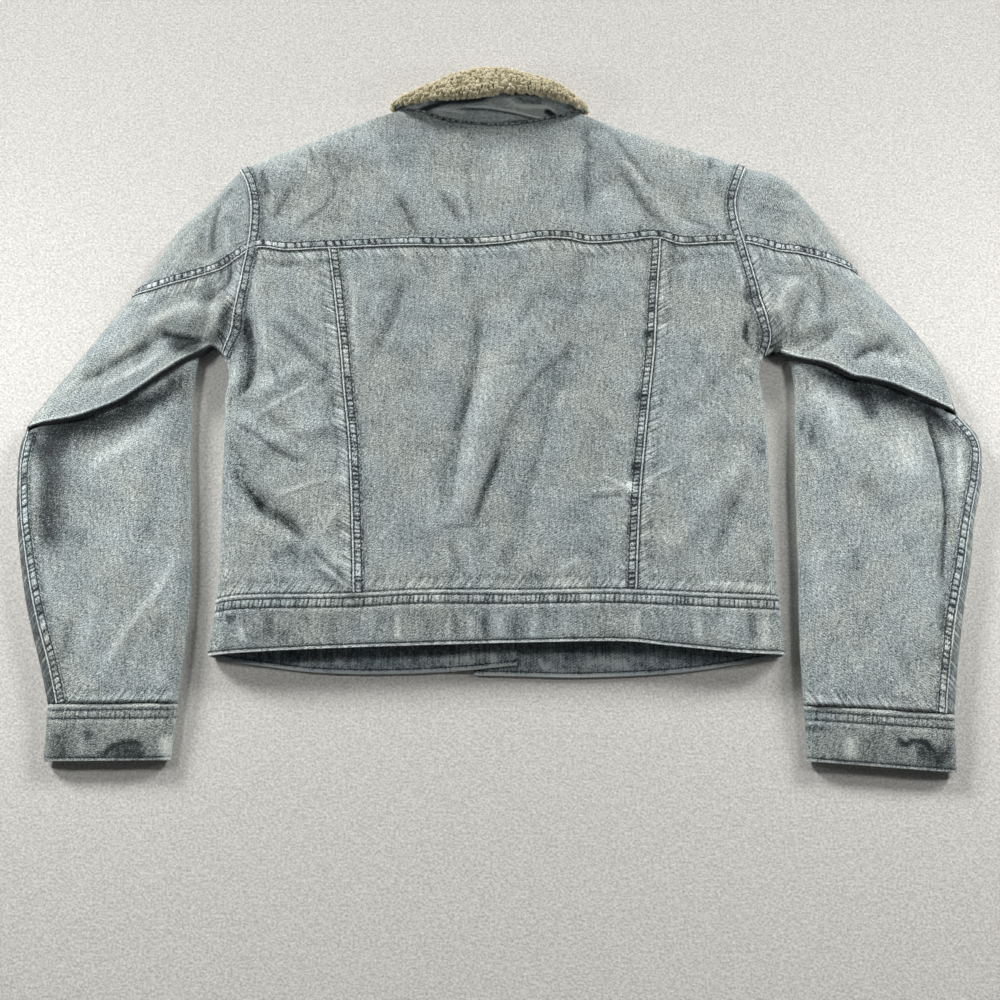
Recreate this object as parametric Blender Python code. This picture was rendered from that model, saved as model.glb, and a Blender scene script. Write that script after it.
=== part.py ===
# Cropped denim jacket with a pile collar, laid flat face down with its back up.
# +Y runs from the hem to the collar, +X from the left sleeve to the right one
# (the wearer's left and right), +Z is up from the surface it lies on.
# Tables are in millimetres: across from the centre back, up from the back hem,
# and height over the surface.  The solids are in metres.
import math

import bpy
import numpy as np

MM = 0.001

# Cloth and seams
SEAM_GAP = 0.3
CLOTH = 2.0
BAND_CLOTH = 2.8
LAP_STEP = 1.0          # a felled seam stands this far proud of its panel
LAP_WIDTH = 9.0
LAP_EASE = 2.5

# How the cloth lies
RIM = 5.0               # height of the outline, where back and front cloth meet
NECK_RIM = 9.0          # the collar props the shoulders up by this much at the neck
NECK_RIM_REACH = 110.0
BACK_ROLL = 38.0        # the back cloth is rounded this far in from the outline
FLOOR_ROLL = 7.0        # and the front cloth this far
FORE_LOFT = 16.0        # top of the forearms
FORE_ROLL = 30.0
CUFF_LOFT = 15.5
CUFF_ROLL = 22.0
PLACKET_RAISE = 3.2     # the left front lies on the right one
PLACKET_RAMP = (-45.0, -25.0)
NECK_LIFT = 8.0         # the folded collar props up the neckline of the fronts
NECK_LIFT_REACH = (10.0, 75.0)
STEEP = 40.0            # slope of the cloth just outside its outline
PIT_GAP = 1.0           # seams open up a little at the pit of the arm and the shoulder tip
PIT_REACH = 22.0
DRAW_REACH = 14.0       # drawing in an edge moves the cloth this far behind it too

# Elbow crease: the upper arm turns down over the forearm
CREASE_ROLL = 9.0
CREASE_LIFT = 3.5
CREASE_LIFT_REACH = 40.0
CREASE_CLEAR = 2.4
FORE_MARGIN = 3.0
HIDDEN_TUCK = 6.0       # the forearm's hidden end under the upper arm
HIDDEN_INSET = 14.0
TUCK_STEP = 5

# Collar
COLLAR_CLOTH = 1.6
COLLAR_CLEAR = 0.8      # from the neckline of the back to the middle of the collar's denim
FRONT_CLEAR = 2.0       # and from the fronts
NECK_STRETCH = 190.0    # the last of a front's centre edge, neckline included
PILE_CLEAR = 0.9
BEND_RADIUS = 1.7       # tightest bend at the roll
BEND_STEPS = 6
PILE_COVER = 0.42       # the pile starts at this share of the collar's height
PILE_OVERHANG = 0.7     # it reaches past the free edge by this share of its thickness

# Columns near an outline, and where a felled seam's step begins and ends
OUTLINE_STEPS = [0.0, 1.0, 4.0, 10.0, 20.0, 38.0]
FLOOR_STEPS = [0.0, 1.0, 3.5, 7.0]
CREASE_STEPS = [0.0, 2.0, 6.0, 12.0, 20.0]
LAP_STEPS = [0.0, LAP_WIDTH, LAP_WIDTH + LAP_EASE]

LEFT, RIGHT = "left", "right"
DENIM = (0.31, 0.36, 0.37)
DENIM_INSIDE = (0.07, 0.09, 0.12)
PILE = (0.68, 0.60, 0.42)


def table(columns, *rows):
    """Rows of numbers under named columns, as a dictionary of arrays."""
    return dict(zip(columns.split(), np.array(rows, float).T))


# Height of the back cloth from hem to neck
LOFT = table("up height",
             (-30, 18.5), (40, 22), (200, 24), (390, 25.5), (560, 26.5))

# Side edges of the body and the seams between the back panels
SIDES = table("up left right",
              (-13, -260, 266), (40, -256, 264), (90, -256, 264), (140, -258, 263),
              (190, -259, 264), (236, -261, 263), (260, -259, 260), (279, -266, 266))
PANEL_SEAMS = table("up left right",
                    (42, -127, 131), (90, -130, 134), (140, -133, 138), (190, -137, 144),
                    (236, -143, 150), (280, -148, 156), (330, -155, 160), (390, -164, 166))
BAND_SEAM = table("across up",
                  (-256, 39), (-237, 41), (-206, 42), (-127, 43), (-69, 46), (24, 46),
                  (110, 47), (165, 45), (205, 43), (236, 42), (264, 42))
HEM = table("across up",
            (-260, -13), (-230, -11), (-193, -9), (-145, -7), (-87, -5), (24, -2),
            (125, -1), (154, -4), (184, -7), (224, -11), (266, -12))
YOKE_SEAM = table("across up",
                  (-245, 382), (-231, 387), (-206, 384), (-164, 386), (-83, 389), (-45, 389),
                  (6, 391), (52, 397), (74, 396), (93, 392), (132, 394), (163, 397),
                  (186, 390), (220, 392), (249, 392))
FRONT_SEAM = {LEFT: table("across up", (-256, 38), (-230, 30), (-190, 24), (-110, 19), (22, 19)),
              RIGHT: table("across up", (264, 40), (226, 30), (170, 22), (80, 17), (-17, 17))}
FRONT_HEM = {LEFT: table("across up", (-260, -13), (-238, -18), (-201, -23), (-168, -27),
                         (-108, -29), (-29, -26), (22, -21)),
             RIGHT: table("across up", (266, -13), (226, -20), (166, -28), (77, -32),
                          (27, -31), (-17, -30))}
NECK_SEAM = table("across up",
                  (-98, 549), (-73, 542), (-54, 533), (-29, 529), (-7, 527), (16, 527),
                  (32, 529), (48, 532), (69, 537), (88, 547))
FRONT_NECK = {LEFT: table("across up", (22, 472), (-10, 475), (-45, 493), (-78, 522), (-98, 549)),
              RIGHT: table("across up", (-17, 474), (10, 474), (40, 490), (70, 520), (88, 547))}
SHOULDERS = {LEFT: table("across up", (-98, 549), (-128, 540), (-167, 526), (-197, 513),
                         (-227, 501), (-261, 482)),
             RIGHT: table("across up", (88, 547), (117, 534), (155, 522), (197, 509),
                          (229, 498), (260, 486))}
# Armholes from the armpit up to the shoulder, in two parts that meet at the yoke seam
ARMHOLES = {LEFT: (table("across up", (-266, 279), (-257, 297), (-252, 331), (-248, 362), (-245, 382)),
                   table("across up", (-245, 382), (-243, 407), (-244, 435), (-250, 460), (-261, 482))),
            RIGHT: (table("across up", (266, 279), (270, 293), (267, 311), (261, 338), (249, 392)),
                    table("across up", (249, 392), (244, 416), (243, 439), (249, 460), (260, 486)))}

# Sleeves: outer edge from shoulder to cuff in three stretches, inner edge, elbow
# crease from the armpit out, and the seam that carries on from the yoke
SLEEVE_OUTER = {LEFT: (table("across up", (-261, 482), (-274, 467), (-286, 449), (-303, 432),
                             (-319, 416), (-344, 369), (-361, 341)),
                       table("across up", (-361, 341), (-376, 319), (-409, 270), (-436, 230),
                             (-450, 206)),
                       table("across up", (-450, 206), (-455, 188), (-454, 152), (-450, 116),
                             (-438, 58), (-429, 25), (-412, -24), (-402, -56))),
                RIGHT: (table("across up", (260, 486), (287, 479), (305, 467), (322, 444),
                              (336, 422), (349, 396), (366, 366)),
                        table("across up", (366, 366), (383, 346), (404, 321), (424, 293),
                              (439, 262), (448, 222)),
                        table("across up", (448, 222), (458, 211), (468, 194), (466, 155),
                              (453, 109), (448, 80), (437, 37), (424, -20), (416, -65)))}
SLEEVE_INNER = {LEFT: table("across up", (-289, 284), (-292, 255), (-293, 226), (-291, 184),
                            (-284, 102), (-281, 54), (-281, 18), (-285, -55)),
                RIGHT: table("across up", (290, 279), (294, 255), (293, 221), (288, 154),
                             (285, 76), (281, -7), (281, -57))}
UNDERARM = {LEFT: table("across up", (-266, 279), (-275, 287), (-289, 284)),
            RIGHT: table("across up", (266, 279), (276, 284), (290, 279))}
CREASES = {LEFT: table("across up", (-266, 279), (-275, 287), (-287, 278), (-306, 264),
                       (-323, 252), (-340, 239), (-357, 227), (-377, 218), (-399, 210), (-425, 206),
                       (-446, 203.5)),
           RIGHT: table("across up", (266, 279), (276, 281), (288, 274), (301, 269),
                        (316, 266), (330, 261), (346, 252), (359, 250), (384, 243), (406, 233),
                        (425, 225), (444.5, 219.3))}
SLEEVE_SEAM = {LEFT: table("across up", (-245, 382), (-259, 371), (-273, 362), (-295, 354),
                           (-315, 348), (-334, 342), (-357, 339)),
               RIGHT: table("across up", (249, 392), (267, 388), (286, 382), (306, 380),
                            (323, 376), (343, 370), (362, 365))}
STRIP_WIDTH = table("row width", (0, 3.5), (9, 4), (12, 6), (15, 9), (19, 11), (20, 10))
CUFFS = {LEFT: table("across up", (-402, -56), (-285, -55), (-401, -106), (-287, -105)),
         RIGHT: table("across up", (281, -57), (416, -65), (280, -106), (413, -116))}

# Largest folds: soft ridges (height above 0) and troughs (below 0)
BACK_FOLDS = table(
    "across up to_across to_up height half_width",
    (-251, 187, -216, 125, -5.0, 9),
    (-216, 125, -179, 97, -4.0, 9),
    (-179, 97, -124, 50, 3.0, 12),
    (-242, 301, -233, 229, -5.0, 10),
    (-225, 233, -186, 259, 2.5, 9),
    (-216, 183, -155, 203, 2.5, 10),
    (-244, 223, -183, 188, -2.5, 8),
    (-36, 111, 25, 300, 2.5, 16),
    (60, 330, 100, 130, -2.0, 16),
    (-95, 340, -70, 180, -2.0, 14),
    (251, 332, 247, 296, -4.0, 8),
    (240, 270, 190, 215, -2.5, 10),
    (235, 160, 170, 90, 2.5, 12),
    (-237, 463, -223, 402, -3.0, 9),
    (108, 509, 186, 407, 2.5, 13),
    (-130, 500, -60, 410, 2.0, 14),
    (215, 470, 190, 420, -2.0, 10),
    (-286, 433, -284, 378, -3.5, 8),
    (-262, 358, -276, 331, -3.0, 9),
    (-276, 331, -286, 298, -4.0, 8),
    (-318, 300, -292, 293, -3.5, 7),
    (-341, 269, -325, 291, -3.0, 8),
    (-391, 252, -377, 265, -3.0, 8),
    (326, 295, 295, 285, -4.0, 8),
    (381, 283, 359, 275, -3.5, 9),
    (300, 430, 290, 350, 2.5, 12))
FORE_FOLDS = table(
    "across up to_across to_up height half_width",
    (353, 250, 366, 205, -3.0, 8),
    (300, 205, 312, 180, -2.5, 8),
    (421, 200, 426, 140, -3.0, 8),
    (426, 132, 412, 10, -2.5, 8),
    (-330, 190, -345, 60, 1.5, 15),
    (-385, 170, -375, 20, -2.0, 12))

# Collar from the left front end round the back to the right front end.  Columns:
# neck edge, roll line and free edge of its denim, and how thick the pile is.
COLLAR = table(
    "neck_x neck_y neck_z roll_x roll_y roll_z edge_x edge_y edge_z pile",
    (-1, 476, 8.9, 2, 502, 6.8, 0, 482, 4.7, 2.2),
    (-47, 497, 8.9, -36, 520, 6.8, -45, 504, 4.7, 2.2),
    (-76, 524, 9.5, -65, 540, 7.3, -74, 532, 5.0, 2.4),
    (-90, 543, 12.0, -84, 549, 5.5, -90, 544, 5.5, 2.6),
    (-95, 550, 15.0, -93, 556, 8.5, -102, 552, 13.5, 3.0),
    (-90, 549, 19.0, -90, 556, 16.5, -98, 550, 22.0, 3.4),
    (-83, 547, 23.0, -84, 554, 25.0, -91, 547, 30.0, 4.0),
    (-57, 536, 25.8, -57, 562, 31.0, -60, 549, 37.0, 6.0),
    (-29, 530, 26.2, -26, 573, 33.0, -26, 550, 39.0, 7.5),
    (2, 528, 26.2, 4, 575, 33.0, 6, 555, 39.5, 7.5),
    (32, 530, 26.2, 38, 567, 33.0, 36, 556, 38.5, 7.0),
    (56, 536, 25.8, 60, 561, 31.0, 62, 550, 37.0, 6.0),
    (75, 543, 23.0, 77, 552, 25.0, 84, 544, 30.0, 4.0),
    (82, 547, 19.0, 82, 554, 16.5, 90, 547, 22.0, 3.4),
    (86, 548, 15.0, 84, 554, 8.5, 93, 549, 13.5, 3.0),
    (81, 541, 12.0, 75, 547, 5.5, 81, 542, 5.5, 2.6),
    (68, 522, 9.5, 57, 538, 7.3, 65, 530, 5.0, 2.4),
    (43, 495, 8.9, 33, 517, 6.8, 41, 501, 4.7, 2.2),
    (6, 475, 8.9, 8, 501, 6.8, 10, 481, 4.7, 2.2))
COLLAR_STEPS = 2        # rows from one station of the collar to the next


def smooth_line(points, steps=14):
    """A dense smooth curve through the points (centripetal Catmull-Rom)."""
    points = np.asarray(points, float)
    ends = np.vstack([2 * points[0] - points[1], points, 2 * points[-1] - points[-2]])
    dense = []
    for a, b, c, d in zip(ends[:-3], ends[1:-2], ends[2:-1], ends[3:]):
        knots = np.cumsum([0.0] + [max(np.linalg.norm(q - p), 1e-6) ** 0.5
                                   for p, q in ((a, b), (b, c), (c, d))])
        for t in np.linspace(knots[1], knots[2], steps, endpoint=False):
            dense.append(_catmull(a, b, c, d, knots, t))
    dense.append(points[-1])
    return np.array(dense)


def _catmull(a, b, c, d, knots, t):
    def mix(p, q, low, high):
        return p * (high - t) / (high - low) + q * (t - low) / (high - low)
    ab, bc, cd = (mix(a, b, knots[0], knots[1]), mix(b, c, knots[1], knots[2]),
                  mix(c, d, knots[2], knots[3]))
    return mix(mix(ab, bc, knots[0], knots[2]), mix(bc, cd, knots[1], knots[3]),
               knots[1], knots[2])


def line_of(outline):
    return smooth_line(np.column_stack([outline["across"], outline["up"]]))


def arc_lengths(line):
    return np.concatenate([[0.0], np.cumsum(np.linalg.norm(np.diff(line, axis=0), axis=1))])


def along(line, distances):
    """Points at these distances along a dense line."""
    lengths = arc_lengths(line)
    return np.column_stack([np.interp(distances, lengths, line[:, k])
                            for k in range(line.shape[1])])


def evenly(line, intervals):
    return along(line, np.linspace(0, arc_lengths(line)[-1], intervals + 1))


def stations(length, from_start, from_end, between):
    """Distances along a length: fixed steps at each end and even ones between."""
    low, high = from_start[-1], length - from_end[-1]
    middle = np.linspace(low, high, between + 1)[1:-1]
    return np.concatenate([from_start, middle, length - np.array(from_end[::-1])])


def spaced(line, from_start, from_end, between):
    return along(line, stations(arc_lengths(line)[-1], from_start, from_end, between))


def join(*stretches):
    return np.vstack([stretches[0]] + [s[1:] for s in stretches[1:]])


def patch(bottom, top, left, right):
    """Grid of points filled in between four edges (rows run bottom to top)."""
    def share(edge):
        lengths = arc_lengths(edge)
        return lengths / lengths[-1]
    u0, u1 = share(bottom)[None, :], share(top)[None, :]
    v0, v1 = share(left)[:, None], share(right)[:, None]
    u = (u0 + v0 * (u1 - u0)) / (1 - (u1 - u0) * (v1 - v0))
    v = (v0 + u * (v1 - v0))[..., None]
    u = u[..., None]
    return ((1 - v) * bottom[None] + v * top[None] + (1 - u) * left[:, None] + u * right[:, None]
            - (1 - u) * (1 - v) * bottom[0] - u * (1 - v) * bottom[-1]
            - (1 - u) * v * top[0] - u * v * top[-1])


def draw_in(grid, edges, opening_from=(), opening_to=()):
    """Move the named edges of a plan grid inward, to leave the gap of a seam.
    Seams open up at the start or the end of the edges named for that."""
    moved = grid.copy()
    for edge in edges:
        view, target = [g if edge in ("bottom", "top") else g.transpose(1, 0, 2)
                        for g in (grid, moved)]
        if edge in ("top", "right"):
            view, target = view[::-1], target[::-1]
        rim = view[0]
        run = np.gradient(rim, axis=0)
        across = np.column_stack([-run[:, 1], run[:, 0]])
        across /= np.linalg.norm(across, axis=1)[:, None]
        across *= np.sign(np.sum(across * (view[1] - rim), axis=1))[:, None]
        from_start = arc_lengths(rim)
        gap = np.full(len(rim), SEAM_GAP / 2)
        if edge in opening_from:
            gap += PIT_GAP * ease(1 - from_start / PIT_REACH)
        if edge in opening_to:
            gap += PIT_GAP * ease(1 - (from_start[-1] - from_start) / PIT_REACH)
        share = ease(1 - np.linalg.norm(view - rim, axis=2) / DRAW_REACH)
        target += across * gap[:, None] * share[..., None]
    return moved


def nearest(points, line):
    """Distance to a dense line, and +1 or -1 for the side of it (left is +1)."""
    flat = points.reshape(-1, 2)
    start, run = line[:-1], np.diff(line, axis=0)
    rel = flat[:, None] - start[None]
    share = np.clip(np.sum(rel * run, axis=2) / np.maximum(np.sum(run * run, axis=1), 1e-9), 0, 1)
    gap = np.linalg.norm(rel - share[..., None] * run, axis=2)
    k = np.argmin(gap, axis=1)
    n = np.arange(len(flat))
    cross = run[k, 0] * rel[n, k, 1] - run[k, 1] * rel[n, k, 0]
    side = np.where(cross >= 0, 1.0, -1.0)
    return gap[n, k].reshape(points.shape[:-1]), side.reshape(points.shape[:-1])


def depth_inside(points, outlines):
    """How far inside the nearest outline; just outside one it is below 0."""
    depths = []
    for line, inner_side in outlines:
        gap, side = nearest(points, line)
        outside = (side != inner_side) & (gap < 2.0)
        depths.append(np.where(outside, -gap, gap))
    return np.min(depths, axis=0)


def ease(share):
    share = np.clip(share, 0, 1)
    return share * share * (3 - 2 * share)


def round_share(share):
    """A quarter circle: 0 and upright at the edge, 1 and level past the roll."""
    return np.sqrt(np.maximum(0.0, 1 - (1 - np.clip(share, 0, 1)) ** 2))


def fold_height(points, folds):
    total = np.zeros(points.shape[:-1])
    for x0, y0, x1, y1, height, width in zip(*folds.values()):
        gap, _ = nearest(points, np.array([[x0, y0], [x1, y1]]))
        total += height * np.exp(-(gap / width) ** 2)
    return total


# Lines shared by the pieces
side_lines = {s: smooth_line(np.column_stack([SIDES[s], SIDES["up"]])) for s in (LEFT, RIGHT)}
panel_lines = {s: smooth_line(np.column_stack([PANEL_SEAMS[s], PANEL_SEAMS["up"]]))
               for s in (LEFT, RIGHT)}
band_line, hem_line = line_of(BAND_SEAM), line_of(HEM)
yoke_line, neck_line = line_of(YOKE_SEAM), line_of(NECK_SEAM)
shoulder_lines = {s: line_of(SHOULDERS[s]) for s in (LEFT, RIGHT)}
armhole_lines = {s: [line_of(part) for part in ARMHOLES[s]] for s in (LEFT, RIGHT)}
outer_lines = {s: [line_of(part) for part in SLEEVE_OUTER[s]] for s in (LEFT, RIGHT)}
inner_lines = {s: line_of(SLEEVE_INNER[s]) for s in (LEFT, RIGHT)}
underarm_lines = {s: line_of(UNDERARM[s]) for s in (LEFT, RIGHT)}
crease_lines = {s: line_of(CREASES[s]) for s in (LEFT, RIGHT)}
sleeve_seam_lines = {s: line_of(SLEEVE_SEAM[s]) for s in (LEFT, RIGHT)}
front_neck_lines = {s: line_of(FRONT_NECK[s]) for s in (LEFT, RIGHT)}
neck_points = np.array([neck_line[0], neck_line[-1]])

# Side of a line that lies inside the garment, walking the way its table runs
INWARD = {"outer": {LEFT: 1, RIGHT: -1}, "inner": {LEFT: -1, RIGHT: 1}}
back_outlines, floor_outlines, fore_outlines = [], [], {}
for s in (LEFT, RIGHT):
    upper, elbow, fore = outer_lines[s]
    pit = underarm_lines[s][:len(underarm_lines[s]) // 2]
    back_outlines += [(join(side_lines[s], pit), INWARD["inner"][s]),
                      (join(shoulder_lines[s], upper, elbow), INWARD["outer"][s])]
    floor_outlines += [(join(side_lines[s], underarm_lines[s], inner_lines[s]), INWARD["inner"][s]),
                       (join(shoulder_lines[s], upper, elbow, fore), INWARD["outer"][s])]
    fore_outlines[s] = [(fore, INWARD["outer"][s]), (inner_lines[s], INWARD["inner"][s])]


def rim_height(points):
    """Height of the outline: low all round, and propped up beside the neck."""
    gap = np.min([np.linalg.norm(points - p, axis=-1) for p in neck_points], axis=0)
    return RIM + NECK_RIM * ease(1 - gap / NECK_RIM_REACH)


def back_height(points, beyond=0.0):
    """Outer face of the back, the yoke and the upper arms.  All heights fall (or on
    the front, rise) by beyond for each millimetre outside the outline."""
    inside = depth_inside(points, back_outlines)
    loft = np.interp(points[..., 1], LOFT["up"], LOFT["height"])
    for s in (LEFT, RIGHT):
        gap, _ = nearest(points, crease_lines[s][len(crease_lines[s]) // 6:])
        loft = loft + CREASE_LIFT * np.exp(-(gap / CREASE_LIFT_REACH) ** 2)
    loft = loft + fold_height(points, BACK_FOLDS) * ease(inside / 22)
    rim = rim_height(points)
    rounded = rim + (loft - rim) * round_share(inside / BACK_ROLL)
    return rounded + beyond * np.minimum(inside, 0)


def fore_height(points, beyond=0.0, side=LEFT):
    """Outer face of a forearm."""
    inside = depth_inside(points, fore_outlines[side])
    loft = FORE_LOFT + fold_height(points, FORE_FOLDS) * ease(inside / 18)
    rounded = RIM + (loft - RIM) * round_share(inside / FORE_ROLL)
    return rounded + beyond * np.minimum(inside, 0)


def upper_arm_height(points, beyond=0.0, side=LEFT):
    """Back height, turned down along the elbow crease to just over the forearm."""
    top = back_height(points, beyond)
    gap, where = nearest(points, inner_lines[side])
    within = gap * np.where(where == INWARD["inner"][side], 1, -1)
    outer = depth_inside(points, fore_outlines[side][:1])
    over = np.minimum(within, outer) + FORE_MARGIN
    under = RIM + (FORE_LOFT - RIM) * round_share(over / FORE_ROLL) + CREASE_CLEAR * (over > 0)
    low = np.minimum(np.maximum(under, RIM), top)
    above = depth_inside(points, [(crease_lines[side], INWARD["inner"][side])])
    return low + (top - low) * round_share(above / CREASE_ROLL) + beyond * np.minimum(above, 0)


def floor_height(points, beyond=0.0, side=LEFT, placket=False):
    """Outer face of the cloth that lies on the surface."""
    inside = depth_inside(points, floor_outlines)
    to_neck = np.min([nearest(points, front_neck_lines[s])[0] for s in (LEFT, RIGHT)], axis=0)
    full, none = NECK_LIFT_REACH
    base = NECK_LIFT * ease((none - to_neck) / (none - full))
    if placket:
        start, end = PLACKET_RAMP
        base = base + PLACKET_RAISE * ease((points[..., 0] - start) / (end - start))
    rim = np.maximum(rim_height(points), base)
    rounded = base + (rim - base) * (1 - round_share(inside / FLOOR_ROLL))
    return rounded - beyond * np.minimum(inside, 0)


def surface(grid, height, up=1.0, step=0.25):
    """Points of a height function over a plan grid, with the normals of its outer face."""
    dx, dy = np.array([step, 0.0]), np.array([0.0, step])
    slope_x = (height(grid + dx, STEEP) - height(grid - dx, STEEP)) / (2 * step)
    slope_y = (height(grid + dy, STEEP) - height(grid - dy, STEEP)) / (2 * step)
    normals = up * np.stack([-slope_x, -slope_y, np.ones_like(slope_x)], axis=-1)
    normals /= np.linalg.norm(normals, axis=-1)[..., None]
    return np.concatenate([grid, height(grid)[..., None]], axis=-1), normals


def lap(grid, *lines):
    """How far a felled seam raises the cloth beside these lines."""
    gap = np.min([nearest(grid, line)[0] for line in lines], axis=0)
    return LAP_STEP * ease((LAP_WIDTH + LAP_EASE - gap) / LAP_EASE)


def wall(outer, inner):
    """Closed cloth wall: the outer face, the inner face and the rim between them.
    Both faces are split along the same, shorter diagonals."""
    rows, columns = outer.shape[:2]
    count = rows * columns
    index = np.arange(count).reshape(rows, columns)
    faces = []
    for i in range(rows - 1):
        for j in range(columns - 1):
            a, b, c, d = index[i, j], index[i, j + 1], index[i + 1, j + 1], index[i + 1, j]
            across = np.linalg.norm(outer[i, j] - outer[i + 1, j + 1])
            if across > np.linalg.norm(outer[i, j + 1] - outer[i + 1, j]):
                a, b, c, d = b, c, d, a
            for p, q, r in ((a, b, c), (a, c, d)):
                faces += [(p, q, r), (r + count, q + count, p + count)]
    rim = list(index[0, :]) + list(index[1:, -1]) + list(index[-1, -2::-1]) + list(index[-2:0:-1, 0])
    for a, b in zip(rim, rim[1:] + rim[:1]):
        faces.append((b, a, a + count, b + count))
    return np.vstack([outer.reshape(-1, 3), inner.reshape(-1, 3)]), faces


def loft(sections):
    """Closed body through closed sections, with flat ends."""
    rows, points = len(sections), len(sections[0])
    faces = []
    for i in range(rows - 1):
        for j in range(points):
            k = (j + 1) % points
            faces.append((i * points + j, i * points + k, (i + 1) * points + k, (i + 1) * points + j))
    faces.append(tuple(range(points))[::-1])
    faces.append(tuple((rows - 1) * points + j for j in range(points)))
    return np.vstack(sections), faces


def ring(outer, inner):
    """Closed tube wall between two sets of closed sections."""
    rows, points = outer.shape[:2]
    count = rows * points
    faces = []
    for j in range(points):
        k = (j + 1) % points
        for i in range(rows - 1):
            a, b, c, d = (i * points + j, i * points + k, (i + 1) * points + k, (i + 1) * points + j)
            faces += [(a, b, c, d), (d + count, c + count, b + count, a + count)]
        last = (rows - 1) * points
        faces.append((k, j, j + count, k + count))
        faces.append((last + j, last + k, last + k + count, last + j + count))
    return np.vstack([outer.reshape(-1, 3), inner.reshape(-1, 3)]), faces


# Places along the armhole that body and sleeve share
def armhole_low(side):
    return spaced(armhole_lines[side][0], CREASE_STEPS, [0.0], ELBOW_ROWS + 1 - len(CREASE_STEPS))


def armhole_high(side):
    return spaced(armhole_lines[side][1], LAP_STEPS, OUTLINE_STEPS, 2)


def armhole_floor(side):
    whole = join(armhole_lines[side][0], armhole_lines[side][1])
    return spaced(whole, FLOOR_STEPS, FLOOR_STEPS, 6)


def cut_across(line, low, high):
    """The stretch of a line between two places across."""
    start, end = [[x, np.interp(x, line[:, 0], line[:, 1])] for x in (low, high)]
    inside = line[(line[:, 0] > low + 0.5) & (line[:, 0] < high - 0.5)]
    return np.vstack([start, inside, end])


def panel_edges(side):
    """Where the seam beside the centre panel meets the band and the yoke."""
    line = panel_lines[side]
    return line[0, 0], line[-1, 0]


def across_stretches(line, ends):
    """Places along a cross seam that its pieces share: left side, centre, right side."""
    edge_left, low, high, edge_right = ends
    return (spaced(cut_across(line, edge_left, low), OUTLINE_STEPS, [0.0], 4),
            spaced(cut_across(line, low, high), LAP_STEPS, LAP_STEPS, 7),
            spaced(cut_across(line, high, edge_right), [0.0], OUTLINE_STEPS, 4))


def band_stretches():
    return across_stretches(band_line, (band_line[0, 0], panel_edges(LEFT)[0],
                                        panel_edges(RIGHT)[0], band_line[-1, 0]))


def yoke_stretches():
    return across_stretches(yoke_line, (yoke_line[0, 0], panel_edges(LEFT)[1],
                                        panel_edges(RIGHT)[1], yoke_line[-1, 0]))


def panel_seam(side, intervals):
    line = panel_lines[side].copy()
    line[0, 1] = np.interp(line[0, 0], band_line[:, 0], band_line[:, 1])
    line[-1, 1] = np.interp(line[-1, 0], yoke_line[:, 0], yoke_line[:, 1])
    return evenly(line, intervals)


def back_centre():
    bottom, top = band_stretches()[1], yoke_stretches()[1]
    grid = patch(bottom, top, panel_seam(LEFT, 18), panel_seam(RIGHT, 18))
    grid = draw_in(grid, ("bottom", "top", "left", "right"))
    raised = lap(grid, panel_lines[LEFT], panel_lines[RIGHT])
    return back_wall(grid, shifted(back_height, SEAM_GAP / 2), raised)


def back_wall(grid, height, raised):
    points, normals = surface(grid, height)
    return wall(points + normals * raised[..., None], points - normals * CLOTH)


def back_side(side):
    upright = side_lines[side][side_lines[side][:, 1] > 44]
    which = 0 if side == LEFT else 2
    bottom, top = band_stretches()[which], yoke_stretches()[which]
    upright = np.vstack([bottom[0 if side == LEFT else -1], upright])
    outer = join(evenly(upright, 9), armhole_low(side))
    seam = panel_seam(side, len(outer) - 1)
    if side == LEFT:
        grid = draw_in(patch(bottom, top, outer, seam), ("bottom", "top", "right"))
        upper = draw_in(grid[9:], ("left",), opening_from=("left",))
    else:
        grid = draw_in(patch(bottom, top, seam, outer), ("bottom", "top", "left"))
        upper = draw_in(grid[9:], ("right",), opening_from=("right",))
    grid[9:] = upper
    raised = lap(grid, armhole_lines[side][0])
    return back_wall(grid, shifted(back_height, SEAM_GAP / 2), raised)


def shifted(height, rise, **choices):
    """A height function moved up or down by half a seam gap."""
    return lambda points, beyond=0.0: height(points, beyond, **choices) + rise


def back_yoke():
    left, right = armhole_high(LEFT), armhole_high(RIGHT)
    bottom = join(*yoke_stretches())
    top = join(evenly(shoulder_lines[LEFT][::-1], 10), evenly(neck_line, 9),
               evenly(shoulder_lines[RIGHT], 10))
    grid = draw_in(patch(bottom, top, left, right), ("bottom", "left", "right"),
                   opening_to=("left", "right"))
    raised = lap(grid, yoke_line, armhole_lines[LEFT][1], armhole_lines[RIGHT][1])
    return back_wall(grid, shifted(back_height, SEAM_GAP / 2), raised)


def waistband_back():
    top = join(*band_stretches())
    bottom = along(hem_line, arc_lengths(top) / arc_lengths(top)[-1] * arc_lengths(hem_line)[-1])
    ends = [np.linspace(bottom[k], top[k], 5) for k in (0, -1)]
    grid = draw_in(patch(bottom, top, *ends), ("top",))
    raised = np.full(grid.shape[:2], BAND_CLOTH - CLOTH)
    raised[0] = 0.2
    return back_wall(grid, shifted(back_height, SEAM_GAP / 2), raised)


def front_stretch(side, line, between):
    """Places across a front, from its centre edge out to the side."""
    return spaced(line[::-1], [0.0, 20.0, 46.0, 68.0], FLOOR_STEPS, between)


def floor_wall(grid, side, cloth, placket):
    height = shifted(floor_height, -SEAM_GAP / 2, side=side, placket=placket)
    points, normals = surface(grid, height, up=-1.0)
    points[..., 2] = np.maximum(points[..., 2], 0.0)
    return wall(points, points - normals * cloth)


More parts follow.
